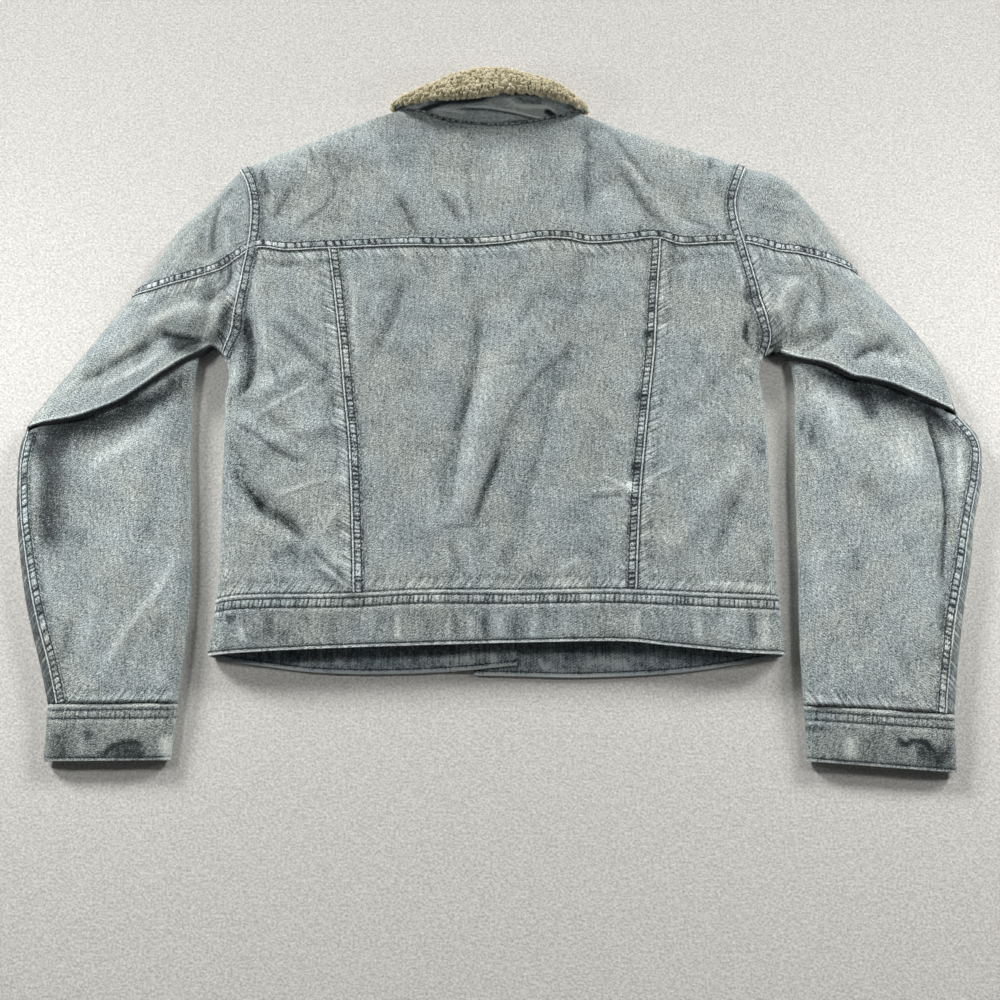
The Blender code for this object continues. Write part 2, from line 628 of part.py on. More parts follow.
def front(side):
    bottom = front_stretch(side, line_of(FRONT_SEAM[side]), 4)
    upright = side_lines[side][side_lines[side][:, 1] >= 38]
    outer = join(evenly(upright, 8), armhole_floor(side))
    outer[0] = bottom[-1]
    top = evenly(shoulder_lines[side], 10)
    centre = np.vstack([bottom[0], front_neck_lines[side]])
    length = arc_lengths(centre)[-1]
    inner = along(centre, np.append(np.linspace(0, length - NECK_STRETCH, 8, endpoint=False),
                                    np.linspace(length - NECK_STRETCH, length, len(outer) - 8)))
    grid = draw_in(patch(bottom, top, inner, outer), ("bottom",))
    grid[8:] = draw_in(grid[8:], ("right",), opening_from=("right",), opening_to=("right",))
    return floor_wall(grid, side, CLOTH, side == LEFT)


def waistband_front(side):
    top = front_stretch(side, line_of(FRONT_SEAM[side]), 5)
    bottom = front_stretch(side, line_of(FRONT_HEM[side]), 5)
    ends = [np.linspace(bottom[k], top[k], 4) for k in (0, -1)]
    grid = draw_in(patch(bottom, top, *ends), ("top",))
    return floor_wall(grid, side, BAND_CLOTH, side == LEFT)


UPPER_ROWS, ELBOW_ROWS, FORE_ROWS = 10, 9, 10
CREASE_ROW = UPPER_ROWS + ELBOW_ROWS
PIT_ROWS = 4            # rows of the sleeve that end on the underarm
ELBOW_DROP = 75.0       # and the rest down to the crease's row end on this stretch below it


def sleeve_outer_edge(side):
    upper, elbow, fore = outer_lines[side]
    return join(spaced(upper, [0.0, 1.0, 4.0, 12.0], [0.0], UPPER_ROWS - 3),
                spaced(elbow, [0.0], CREASE_STEPS, ELBOW_ROWS + 1 - len(CREASE_STEPS)),
                spaced(fore, [0.0, 5.0], [0.0], FORE_ROWS - 1))


def sleeve_inner_edge(side):
    line = inner_lines[side]
    rest = arc_lengths(line)[-1] - ELBOW_DROP
    below = np.concatenate([np.linspace(0, ELBOW_DROP, CREASE_ROW - PIT_ROWS, endpoint=False),
                            ELBOW_DROP + rest * np.linspace(0, 1, FORE_ROWS + 1)])
    return join(evenly(underarm_lines[side], PIT_ROWS), along(line, below))


def strip_edge(side):
    """The seam between front and back sleeve: on from the yoke, then down the outer edge."""
    outline = sleeve_outer_edge(side)
    run = np.gradient(outline, axis=0)
    inward = np.column_stack([-run[:, 1], run[:, 0]]) * INWARD["outer"][side]
    inward /= np.linalg.norm(inward, axis=1)[:, None]
    rows = np.arange(len(outline)) - UPPER_ROWS
    width = np.interp(rows, STRIP_WIDTH["row"], STRIP_WIDTH["width"])
    edge = outline + inward * width[:, None]
    cuff_run = inner_lines[side][-1] - outline[-1]
    edge[-1] = outline[-1] + cuff_run / np.linalg.norm(cuff_run) * width[-1]
    upper = evenly(sleeve_seam_lines[side], UPPER_ROWS)
    edge[:UPPER_ROWS + 1] = upper + (edge[UPPER_ROWS] - upper[-1]) * \
        ease(np.arange(UPPER_ROWS + 1) / UPPER_ROWS)[:, None]
    return edge


def bow_fade(rows):
    """How the curve of the armhole dies away from row to row down the sleeve."""
    return np.maximum(0.0, 1 - np.arange(rows) / 7) ** 2


def sleeve_front(side):
    """From the inner edge over the surface, round the outer edge and up to the seam."""
    outline, seam = sleeve_outer_edge(side), strip_edge(side)
    rows = len(outline)
    inner = sleeve_inner_edge(side)
    hole = armhole_floor(side)
    share = arc_lengths(hole) / arc_lengths(hole)[-1]
    bow = hole - (hole[0] + (hole[-1] - hole[0]) * share[:, None])
    floor = np.array([spaced(np.vstack([a, b]), FLOOR_STEPS, FLOOR_STEPS, 6) + bow * fade
                      for a, b, fade in zip(inner, outline, bow_fade(rows))])
    floor = draw_in(floor, ("bottom", "top"), opening_from=("bottom",), opening_to=("bottom",))
    floor_points, floor_normals = surface(
        floor, shifted(floor_height, -SEAM_GAP / 2, side=side), up=-1.0)
    floor_points[..., 2] = np.maximum(floor_points[..., 2], 0.0)

    high = armhole_high(side)[::-1]
    chord = np.linspace(0, 1, len(high))
    first = arc_lengths(high) / arc_lengths(high)[-1]
    strip = np.zeros((rows, len(high), 2))
    for i in range(rows):
        width = np.linalg.norm(seam[i] - outline[i])
        share = first + (chord - first) * ease(1 - width / 60)
        strip[i] = outline[i] + (seam[i] - outline[i]) * share[:, None]
        bow = high - (high[0] + (high[-1] - high[0]) * first[:, None])
        strip[i] += bow * bow_fade(rows)[i]
    strip = draw_in(strip, ("bottom", "top", "right"), opening_from=("bottom",))
    points, normals = surface(strip, shifted(back_height, SEAM_GAP / 2))
    low_points, low_normals = surface(strip, shifted(fore_height, SEAM_GAP / 2, side=side))
    fore = (np.arange(rows) > CREASE_ROW)[:, None, None]
    points, normals = np.where(fore, low_points, points), np.where(fore, low_normals, normals)
    raised = lap(strip, seam) * ease(np.arange(len(high)) / (len(high) - 1))[None]
    inside = points - normals * CLOTH
    floor_inside = floor_points - floor_normals * CLOTH
    points = points + normals * raised[..., None]
    return wall(np.concatenate([floor_points[:, :-1], points], axis=1),
                np.concatenate([floor_inside[:, :-1], inside], axis=1))


def sleeve_back_upper(side):
    """From armhole and sleeve seam down to the elbow crease, where it turns under."""
    seam = strip_edge(side)[:CREASE_ROW + 1]
    low = armhole_low(side)
    crease = evenly(crease_lines[side], UPPER_ROWS)
    crease[-1] = seam[-1]
    top = seam[:UPPER_ROWS + 1]
    grid = patch(crease, top, low, seam[UPPER_ROWS:][::-1])
    grid = draw_in(grid, ("top", "left", "right"), opening_from=("left", "right"))
    points, normals = surface(grid, shifted(upper_arm_height, SEAM_GAP / 2, side=side))
    for _ in range(2):
        normals[1:-1] = normals[:-2] + 2 * normals[1:-1] + normals[2:]
        normals /= np.linalg.norm(normals, axis=-1)[..., None]
    return wall(points, points - normals * CLOTH)


def sleeve_back_fore(side):
    """From its hidden tuck under the elbow crease down to the cuff."""
    seam = strip_edge(side)[CREASE_ROW + 1:]
    crease = crease_lines[side]
    run = crease[-1] - crease[len(crease) // 3]
    run /= np.linalg.norm(run)
    north = np.array([-run[1], run[0]]) * INWARD["inner"][side]
    inner = sleeve_inner_edge(side)
    hidden = strip_edge(side)[CREASE_ROW] + north * HIDDEN_TUCK - run * HIDDEN_INSET
    inset = seam[0] - run * HIDDEN_INSET
    left = np.vstack([seam[::-1], (seam[0] + inset) / 2, inset, hidden])
    right = np.vstack([inner[:CREASE_ROW:-1], inner[PIT_ROWS + TUCK_STEP * np.arange(3)][::-1]])
    bottom = spaced(np.vstack([left[0], right[0]]), [0.0], OUTLINE_STEPS[:5], 6)
    top = spaced(np.vstack([left[-1], right[-1]]), [0.0], OUTLINE_STEPS[:5], 6)
    grid = draw_in(patch(bottom, top, left, right), ("bottom", "left"))
    return back_wall(grid, shifted(fore_height, SEAM_GAP / 2, side=side),
                     np.zeros(grid.shape[:2]))


def cuff(side):
    """Flattened ring of doubled cloth at the end of the sleeve."""
    corners = np.column_stack([CUFFS[side]["across"], CUFFS[side]["up"]])
    starts, ends = np.linspace(corners[0], corners[2], 4), np.linspace(corners[1], corners[3], 4)
    starts[0] += (starts[1] - starts[0]) * 0.01
    ends[0] += (ends[1] - ends[0]) * 0.01
    outer, inner = [], []
    for start, end in zip(starts, ends):
        width = np.linalg.norm(end - start)
        under = stations(width, FLOOR_STEPS, FLOOR_STEPS, 5)
        over = stations(width, OUTLINE_STEPS[:5], OUTLINE_STEPS[:5], 4)[1:-1][::-1]
        low = RIM * (1 - round_share(np.minimum(under, width - under) / FLOOR_ROLL))
        high = RIM + (CUFF_LOFT - RIM) * round_share(np.minimum(over, width - over) / CUFF_ROLL)
        section = np.column_stack([np.concatenate([under, over]), np.concatenate([low, high])])
        run = np.roll(section, -1, axis=0) - np.roll(section, 1, axis=0)
        facing = np.column_stack([-run[:, 1], run[:, 0]])
        facing /= np.linalg.norm(facing, axis=1)[:, None]
        for target, points in ((outer, section), (inner, section + facing * BAND_CLOTH)):
            plan = start + (end - start) * (points[:, :1] / width)
            target.append(np.column_stack([plan, points[:, 1]]))
    return ring(np.array(outer), np.array(inner))


def collar_lines():
    names = (("neck_x", "neck_y", "neck_z"), ("roll_x", "roll_y", "roll_z"),
             ("edge_x", "edge_y", "edge_z"))
    return [np.column_stack([COLLAR[n] for n in group]) for group in names]


def keep_off(points, line, inner_side, distance):
    """Move points that are too close to a line, or across it, to the collar's side of it."""
    run = np.gradient(line, axis=0)
    across = np.column_stack([run[:, 1], -run[:, 0]]) * inner_side
    across /= np.linalg.norm(across, axis=1)[:, None]
    k = np.argmin(np.linalg.norm(points[:, None, :2] - line, axis=2), axis=1)
    clear = np.sum((points[:, :2] - line[k]) * across[k], axis=1)
    moved = points.copy()
    moved[:, :2] += across[k] * np.maximum(0.0, distance - clear)[:, None]
    return moved


def fold_section(neck, roll, edge):
    """Stand and fall in one section, with an even bend at the roll."""
    out = roll - (neck + edge) / 2
    out /= np.linalg.norm(out)
    turn = (edge - neck) / 2
    turn -= np.dot(turn, out) * out
    half = np.linalg.norm(turn)
    reach = min(half * np.clip(half / BEND_RADIUS, 1, 3.5),
                0.9 * np.dot(roll - neck, out), 0.9 * np.dot(roll - edge, out))
    angles = np.linspace(-np.pi / 2, np.pi / 2, BEND_STEPS + 1)[:, None]
    bend = roll + out * reach * (np.cos(angles) - 1) + turn * np.sin(angles)
    return join(np.linspace(neck, bend[0], 4), bend, np.linspace(bend[-1], edge, 4))


def collar_grid():
    """Middle of the collar's denim: stand up to the roll, then the fall back to its edge."""
    neck, roll, edge = [smooth_line(points, COLLAR_STEPS) for points in collar_lines()]
    corner = np.argmin(neck[:, 0]), np.argmax(neck[:, 0])
    front_left, back, front_right = (slice(corner[0] + 1), slice(corner[0], corner[1] + 1),
                                     slice(corner[1], None))
    neck[front_left] = keep_off(neck[front_left], front_neck_lines[LEFT], 1, FRONT_CLEAR)
    neck[front_right] = keep_off(neck[front_right], front_neck_lines[RIGHT], -1, FRONT_CLEAR)
    neck[back] = keep_off(neck[back], neck_line, -1, COLLAR_CLEAR)
    pile = np.interp(np.arange(len(roll)) / COLLAR_STEPS, np.arange(len(COLLAR["pile"])),
                     COLLAR["pile"])
    return np.array([fold_section(n, r, e) for n, r, e in zip(neck, roll, edge)]), pile


def grid_normals(grid):
    normals = np.cross(np.gradient(grid, axis=1), np.gradient(grid, axis=0))
    return normals / np.linalg.norm(normals, axis=-1)[..., None]


def collar_denim():
    grid, _ = collar_grid()
    normals = grid_normals(grid)
    return wall(grid + normals * COLLAR_CLOTH / 2, grid - normals * COLLAR_CLOTH / 2)


def collar_pile():
    """Thick pile on the outside of the roll and the fall, past the fall's edge."""
    grid, pile = collar_grid()
    outward = grid_normals(grid)
    first = int(round(PILE_COVER * (grid.shape[1] - 1)))
    sections = []
    for i in range(len(grid)):
        line, out = grid[i, first:], outward[i, first:]
        clear = COLLAR_CLOTH / 2 + PILE_CLEAR
        near = line + out * clear
        share = np.linspace(0, 1, len(line))
        swell = pile[i] * (0.35 + 0.65 * round_share(share / 0.35))
        far = line + out * (clear + swell)[:, None]
        end = line[-1] - line[-2]
        end /= np.linalg.norm(end)
        over = PILE_OVERHANG * pile[i]
        tip = [line[-1] + end * over * 0.55 + out[-1] * clear,
               line[-1] + end * over + out[-1] * (clear + 0.3 * pile[i]),
               line[-1] + end * over * 0.75 + out[-1] * (clear + 0.75 * pile[i])]
        sections.append(np.vstack([near, tip, far[::-1]]))
    sections = np.array(sections)
    sections[..., 2] = np.maximum(sections[..., 2], 0.0)
    return loft(list(sections))


def material(name, colour, roughness):
    made = bpy.data.materials.new(name)
    made.use_nodes = True
    shader = made.node_tree.nodes["Principled BSDF"]
    shader.inputs["Base Color"].default_value = (*colour, 1.0)
    shader.inputs["Roughness"].default_value = roughness
    shader.inputs["Metallic"].default_value = 0.0
    return made


def add_piece(name, shape, finish, origin):
    """One object from points in millimetres, its faces turned outward."""
    points, faces = shape
    points = (points - origin) * MM
    volume = sum(np.dot(points[f[0]], np.cross(points[f[k]], points[f[k + 1]]))
                 for f in faces for k in range(1, len(f) - 1))
    if volume < 0:
        faces = [tuple(reversed(f)) for f in faces]
    mesh = bpy.data.meshes.new(name)
    mesh.from_pydata([tuple(p) for p in points], [], [tuple(int(k) for k in f) for f in faces])
    mesh.update()
    mesh.shade_smooth()
    mesh.set_sharp_from_angle(angle=math.radians(40))
    mesh.materials.append(finish)
    bpy.context.scene.collection.objects.link(bpy.data.objects.new(name, mesh))


def main():
    for thing in list(bpy.data.objects):
        bpy.data.objects.remove(thing)
    denim = material("stone-washed denim", DENIM, 0.9)
    inside = material("denim inside", DENIM_INSIDE, 0.9)
    pile = material("cream pile", PILE, 1.0)
    pieces = [("back_centre", back_centre(), denim), ("back_yoke", back_yoke(), denim),
              ("waistband_back", waistband_back(), denim),
              ("collar_denim", collar_denim(), denim), ("collar_sherpa", collar_pile(), pile)]
    for side in (LEFT, RIGHT):
        pieces += [(f"back_side_{side}", back_side(side), denim),
                   (f"front_{side}", front(side), inside),
                   (f"waistband_front_{side}", waistband_front(side), inside),
                   (f"sleeve_front_{side}", sleeve_front(side), denim),
                   (f"sleeve_back_upper_{side}", sleeve_back_upper(side), denim),
                   (f"sleeve_back_fore_{side}", sleeve_back_fore(side), denim),
                   (f"cuff_{side}", cuff(side), denim)]
    everything = np.vstack([shape[0] for _, shape, _ in pieces])
    low, high = everything.min(axis=0), everything.max(axis=0)
    origin = np.array([(low[0] + high[0]) / 2, (low[1] + high[1]) / 2, low[2]])
    for name, shape, finish in pieces:
        add_piece(name, shape, finish, origin)


main()
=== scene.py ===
# Cropped denim jacket with a sherpa collar, laid flat face down with its back up.
import math

import bmesh
import bpy
import numpy as np
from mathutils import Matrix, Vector, noise


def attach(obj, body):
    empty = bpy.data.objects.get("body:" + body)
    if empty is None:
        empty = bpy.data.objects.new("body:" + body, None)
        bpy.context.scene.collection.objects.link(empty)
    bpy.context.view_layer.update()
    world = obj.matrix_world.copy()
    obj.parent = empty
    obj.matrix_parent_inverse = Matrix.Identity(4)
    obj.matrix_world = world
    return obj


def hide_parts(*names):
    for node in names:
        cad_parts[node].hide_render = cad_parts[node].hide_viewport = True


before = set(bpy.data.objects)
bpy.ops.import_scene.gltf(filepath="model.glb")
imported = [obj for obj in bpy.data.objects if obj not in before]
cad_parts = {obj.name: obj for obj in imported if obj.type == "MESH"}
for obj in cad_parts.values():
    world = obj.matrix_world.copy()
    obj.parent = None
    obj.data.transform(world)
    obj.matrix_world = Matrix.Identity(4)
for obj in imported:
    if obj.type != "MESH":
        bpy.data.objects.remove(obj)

mm = 0.001
left, right = "left", "right"
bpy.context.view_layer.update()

# How the jacket lies, in mm: x across from the centre back, y up from its hem, z over the floor
lie = {
    "origin": (6.613, 233.66, 0.0),  # the frame's zero in these millimetres
    "seamGap": 0.3,                  # between neighbouring pieces
    "seamSlit": 0.08,                # and between the cloths that are sewn together
    "slitReach": 14.0,               # points this near a seam are drawn in for it
    "cloth": 2.0,                    # thickness of one layer
    "bandCloth": 2.8,                # and of the doubled bands
    "rim": 5.0,                      # where back and front cloth meet all round
    "neckRim": 9.0,                  # they meet this much higher near the neck
    "neckRimReach": 110.0,
    "foldFade": 22.0, "foreFoldFade": 18.0, "creaseFade": 12.0,   # they end this near the rim
    "backRoll": 38.0,                # the back's edge rounds over this far in
    "floorRoll": 7.0,                # and the lower cloth's
    "foreLoft": 16.0,                # height of a forearm
    "foreRolls": (30.0, 14.0),       # at the forearm's outer and inner edge
    "placketRaise": 3.2,             # the left front laps over the right one
    "placketRamp": (-45.0, -25.0),   # between these places across
    "neckLift": 8.0,                 # the folded collar props up the fronts' neck
    "neckLiftReach": (10.0, 75.0),
    "steep": 40.0,                   # fall beyond an outline, which turns the rim's normals out
    "pitGap": 1.0,                   # a seam's slit widens by this at the underarm
    "pitReach": 22.0,
    "loft": [(-30, 18.5), (40, 22), (200, 24), (390, 25.5), (560, 26.5)],  # place up, height
    "step": 2.0,                     # spacing of the cloth's points
    "floorStep": 7.0,                # and of the cloth underneath
    "rimSteps": [0, 0.3, 0.9, 1.8, 3.1, 4.8, 7.0],
    "ripples": [(46, 0.8), (19, 0.5), (8, 0.2)],   # size and height of soft unevenness
}
# Rough lengths of the edges, which say how many points each takes
spans = {"backWidth": 300, "backLength": 345, "sideWidth": 125, "sideLength": 235,
         "armholeLow": 105, "armholeHigh": 90, "yokeThird": 170, "frontWidth": 270,
         "frontLength": 240, "armhole": 200, "openingLength": 190, "capWidth": 95,
         "foreWidth": 115}

# Elbow: the upper arm turns down over the forearm
elbow = {
    "roll": 2.6,                     # how far in its edge rounds over
    "lift": 1.0, "liftReach": 40.0,  # the cloth rises a little towards the crease
    "clear": 2.4, "margin": 3.0,     # space over the forearm, and beside it
    "hiddenTuck": 6.0, "hiddenInset": 14.0, "tuckStep": 5,   # the forearm's end under the crease
    "upperRows": 10, "elbowRows": 9, "foreRows": 10, "pitRows": 4,
    "refine": 7,                     # fine rows for each of those
    "drop": 75.0,                    # the inner edge's share of the rows above the crease
    "stepsDown": [0.0, 2.0, 6.0, 12.0, 20.0],   # points lie closer together at the crease
    "bowRows": 7,                    # rows over which the armhole's bow fades down the sleeve
    "wideStrip": 60.0,               # a strip this wide keeps the armhole's spacing of points
    "stripTone": {left: -0.7, right: -0.3},   # the strip outside the forearm's seam is drawn darker
}
creaseRow = elbow["upperRows"] + elbow["elbowRows"]

bodyLines = {
    "side": {
        left: [(-260, -13), (-256, 40), (-256, 90), (-258, 140), (-259, 190), (-261, 236),
               (-259, 260), (-266, 279)],
        right: [(266, -13), (264, 40), (264, 90), (263, 140), (264, 190), (263, 236),
                (260, 260), (266, 279)]},
    "panel": {
        left: [(-127, 42), (-130, 90), (-133, 140), (-137, 190), (-143, 236), (-148, 280),
               (-155, 330), (-164, 390)],
        right: [(131, 42), (134, 90), (138, 140), (144, 190), (150, 236), (156, 280),
                (160, 330), (166, 390)]},
    "band": [(-256, 39), (-237, 41), (-206, 42), (-127, 43), (-69, 46), (24, 46), (110, 47),
             (165, 45), (205, 43), (236, 42), (264, 42)],
    "hem": [(-260, -13), (-230, -11), (-193, -9), (-145, -7), (-87, -5), (24, -2), (125, -1),
            (154, -4), (184, -7), (224, -11), (266, -12)],
    "yoke": [(-245, 382), (-231, 387), (-206, 384), (-164, 386), (-83, 389), (-45, 389),
             (6, 391), (52, 397), (74, 396), (93, 392), (132, 394), (163, 397), (186, 390),
             (220, 392), (249, 392)],
    "neck": [(-98, 549), (-73, 542), (-54, 533), (-29, 529), (-7, 527), (16, 527), (32, 529),
             (48, 532), (69, 537), (88, 547)],
    "frontSeam": {left: [(-256, 38), (-230, 30), (-190, 24), (-110, 19), (22, 19)],
                  right: [(264, 40), (226, 30), (170, 22), (80, 17), (-17, 17)]},
    "frontHem": {left: [(-260, -13), (-238, -18), (-201, -23), (-168, -27), (-108, -29),
                        (-29, -26), (22, -21)],
                 right: [(266, -13), (226, -20), (166, -28), (77, -32), (27, -31), (-17, -30)]},
    "frontNeck": {left: [(22, 472), (-10, 475), (-45, 493), (-78, 522), (-98, 549)],
                  right: [(-17, 474), (10, 474), (40, 490), (70, 520), (88, 547)]},
    "shoulder": {left: [(-98, 549), (-128, 540), (-167, 526), (-197, 513), (-227, 501),
                        (-261, 482)],
                 right: [(88, 547), (117, 534), (155, 522), (197, 509), (229, 498), (260, 486)]},
    "armholeLow": {left: [(-266, 279), (-257, 297), (-252, 331), (-248, 362), (-245, 382)],
                   right: [(266, 279), (270, 293), (267, 311), (261, 338), (249, 392)]},
    "armholeHigh": {left: [(-245, 382), (-243, 407), (-244, 435), (-250, 460), (-261, 482)],
                    right: [(249, 392), (244, 416), (243, 439), (249, 460), (260, 486)]},
}
sleeveLines = {
    "upper": {left: [(-261, 482), (-274, 467), (-286, 449), (-303, 432), (-319, 416),
                     (-344, 369), (-361, 341)],
              right: [(260, 486), (287, 479), (305, 467), (322, 444), (336, 422), (349, 396),
                      (366, 366)]},
    "elbow": {left: [(-361, 341), (-376, 319), (-409, 270), (-436, 230), (-450, 206)],
              right: [(366, 366), (383, 346), (404, 321), (424, 293), (439, 262), (448, 222)]},
    "fore": {left: [(-450, 206), (-455, 188), (-454, 152), (-450, 116), (-438, 58), (-429, 25),
                    (-412, -24), (-402, -56)],
             right: [(448, 222), (458, 211), (468, 194), (466, 155), (453, 109), (448, 80),
                     (437, 37), (424, -20), (416, -65)]},
    "inner": {left: [(-289, 284), (-292, 255), (-293, 226), (-291, 184), (-284, 102),
                     (-281, 54), (-281, 18), (-285, -55)],
              right: [(290, 279), (294, 255), (293, 221), (288, 154), (285, 76), (281, -7),
                      (281, -57)]},
    "underarm": {left: [(-266, 279), (-275, 287), (-289, 284)],
                 right: [(266, 279), (276, 284), (290, 279)]},
    "crease": {left: [(-266, 279), (-275, 287), (-287, 278), (-306, 264), (-323, 252),
                      (-340, 239), (-357, 227), (-377, 218), (-399, 210), (-425, 206),
                      (-446, 203.5)],
               right: [(266, 279), (276, 281), (288, 274), (301, 269), (316, 266), (330, 261),
                       (346, 252), (359, 250), (384, 243), (406, 233), (425, 225),
                       (444.5, 219.3)]},
    "seam": {left: [(-245, 382), (-259, 371), (-273, 362), (-295, 354), (-315, 348),
                    (-334, 342), (-357, 339)],
             right: [(249, 392), (267, 388), (286, 382), (306, 380), (323, 376), (343, 370),
                     (362, 365)]},
    "stripWidth": [(0, 3.5), (9, 4), (12, 6), (15, 9), (19, 11), (20, 10)],
}

# Largest folds: line, height (a trough is below 0) and half width
backFolds = [
    ((-251, 187), (-216, 125), -5.0, 9), ((-216, 125), (-179, 97), -4.0, 9),
    ((-179, 97), (-124, 50), 3.0, 12), ((-242, 301), (-233, 229), -5.0, 10),
    ((-225, 233), (-186, 259), 2.5, 9), ((-216, 183), (-155, 203), 2.5, 10),
    ((-244, 223), (-183, 188), -2.5, 8), ((-36, 111), (25, 300), 2.5, 16),
    ((60, 330), (100, 130), -2.0, 16), ((-95, 340), (-70, 180), -2.0, 14),
    ((251, 332), (247, 296), -4.0, 8), ((240, 270), (190, 215), -2.5, 10),
    ((235, 160), (170, 90), 2.5, 12), ((-237, 463), (-223, 402), -3.0, 9),
    ((108, 509), (186, 407), 2.5, 13), ((-130, 500), (-60, 410), 2.0, 14),
    ((215, 470), (190, 420), -2.0, 10), ((-286, 433), (-284, 378), -3.5, 8),
    ((-262, 358), (-276, 331), -3.0, 9), ((-276, 331), (-286, 298), -4.0, 8),
    ((-318, 300), (-292, 293), -3.5, 7), ((-341, 269), (-325, 291), -3.0, 8),
    ((-391, 252), (-377, 265), -3.0, 8), ((326, 295), (295, 285), -4.0, 8),
    ((381, 283), (359, 275), -3.5, 9), ((300, 430), (290, 350), 2.5, 12)]
foreFolds = [
    ((353, 250), (366, 205), -3.0, 8), ((300, 205), (312, 180), -2.5, 8),
    ((421, 200), (426, 140), -3.0, 8), ((426, 132), (412, 10), -2.5, 8),
    ((-330, 190), (-345, 60), 1.5, 15), ((-385, 170), (-375, 20), -2.0, 12)]
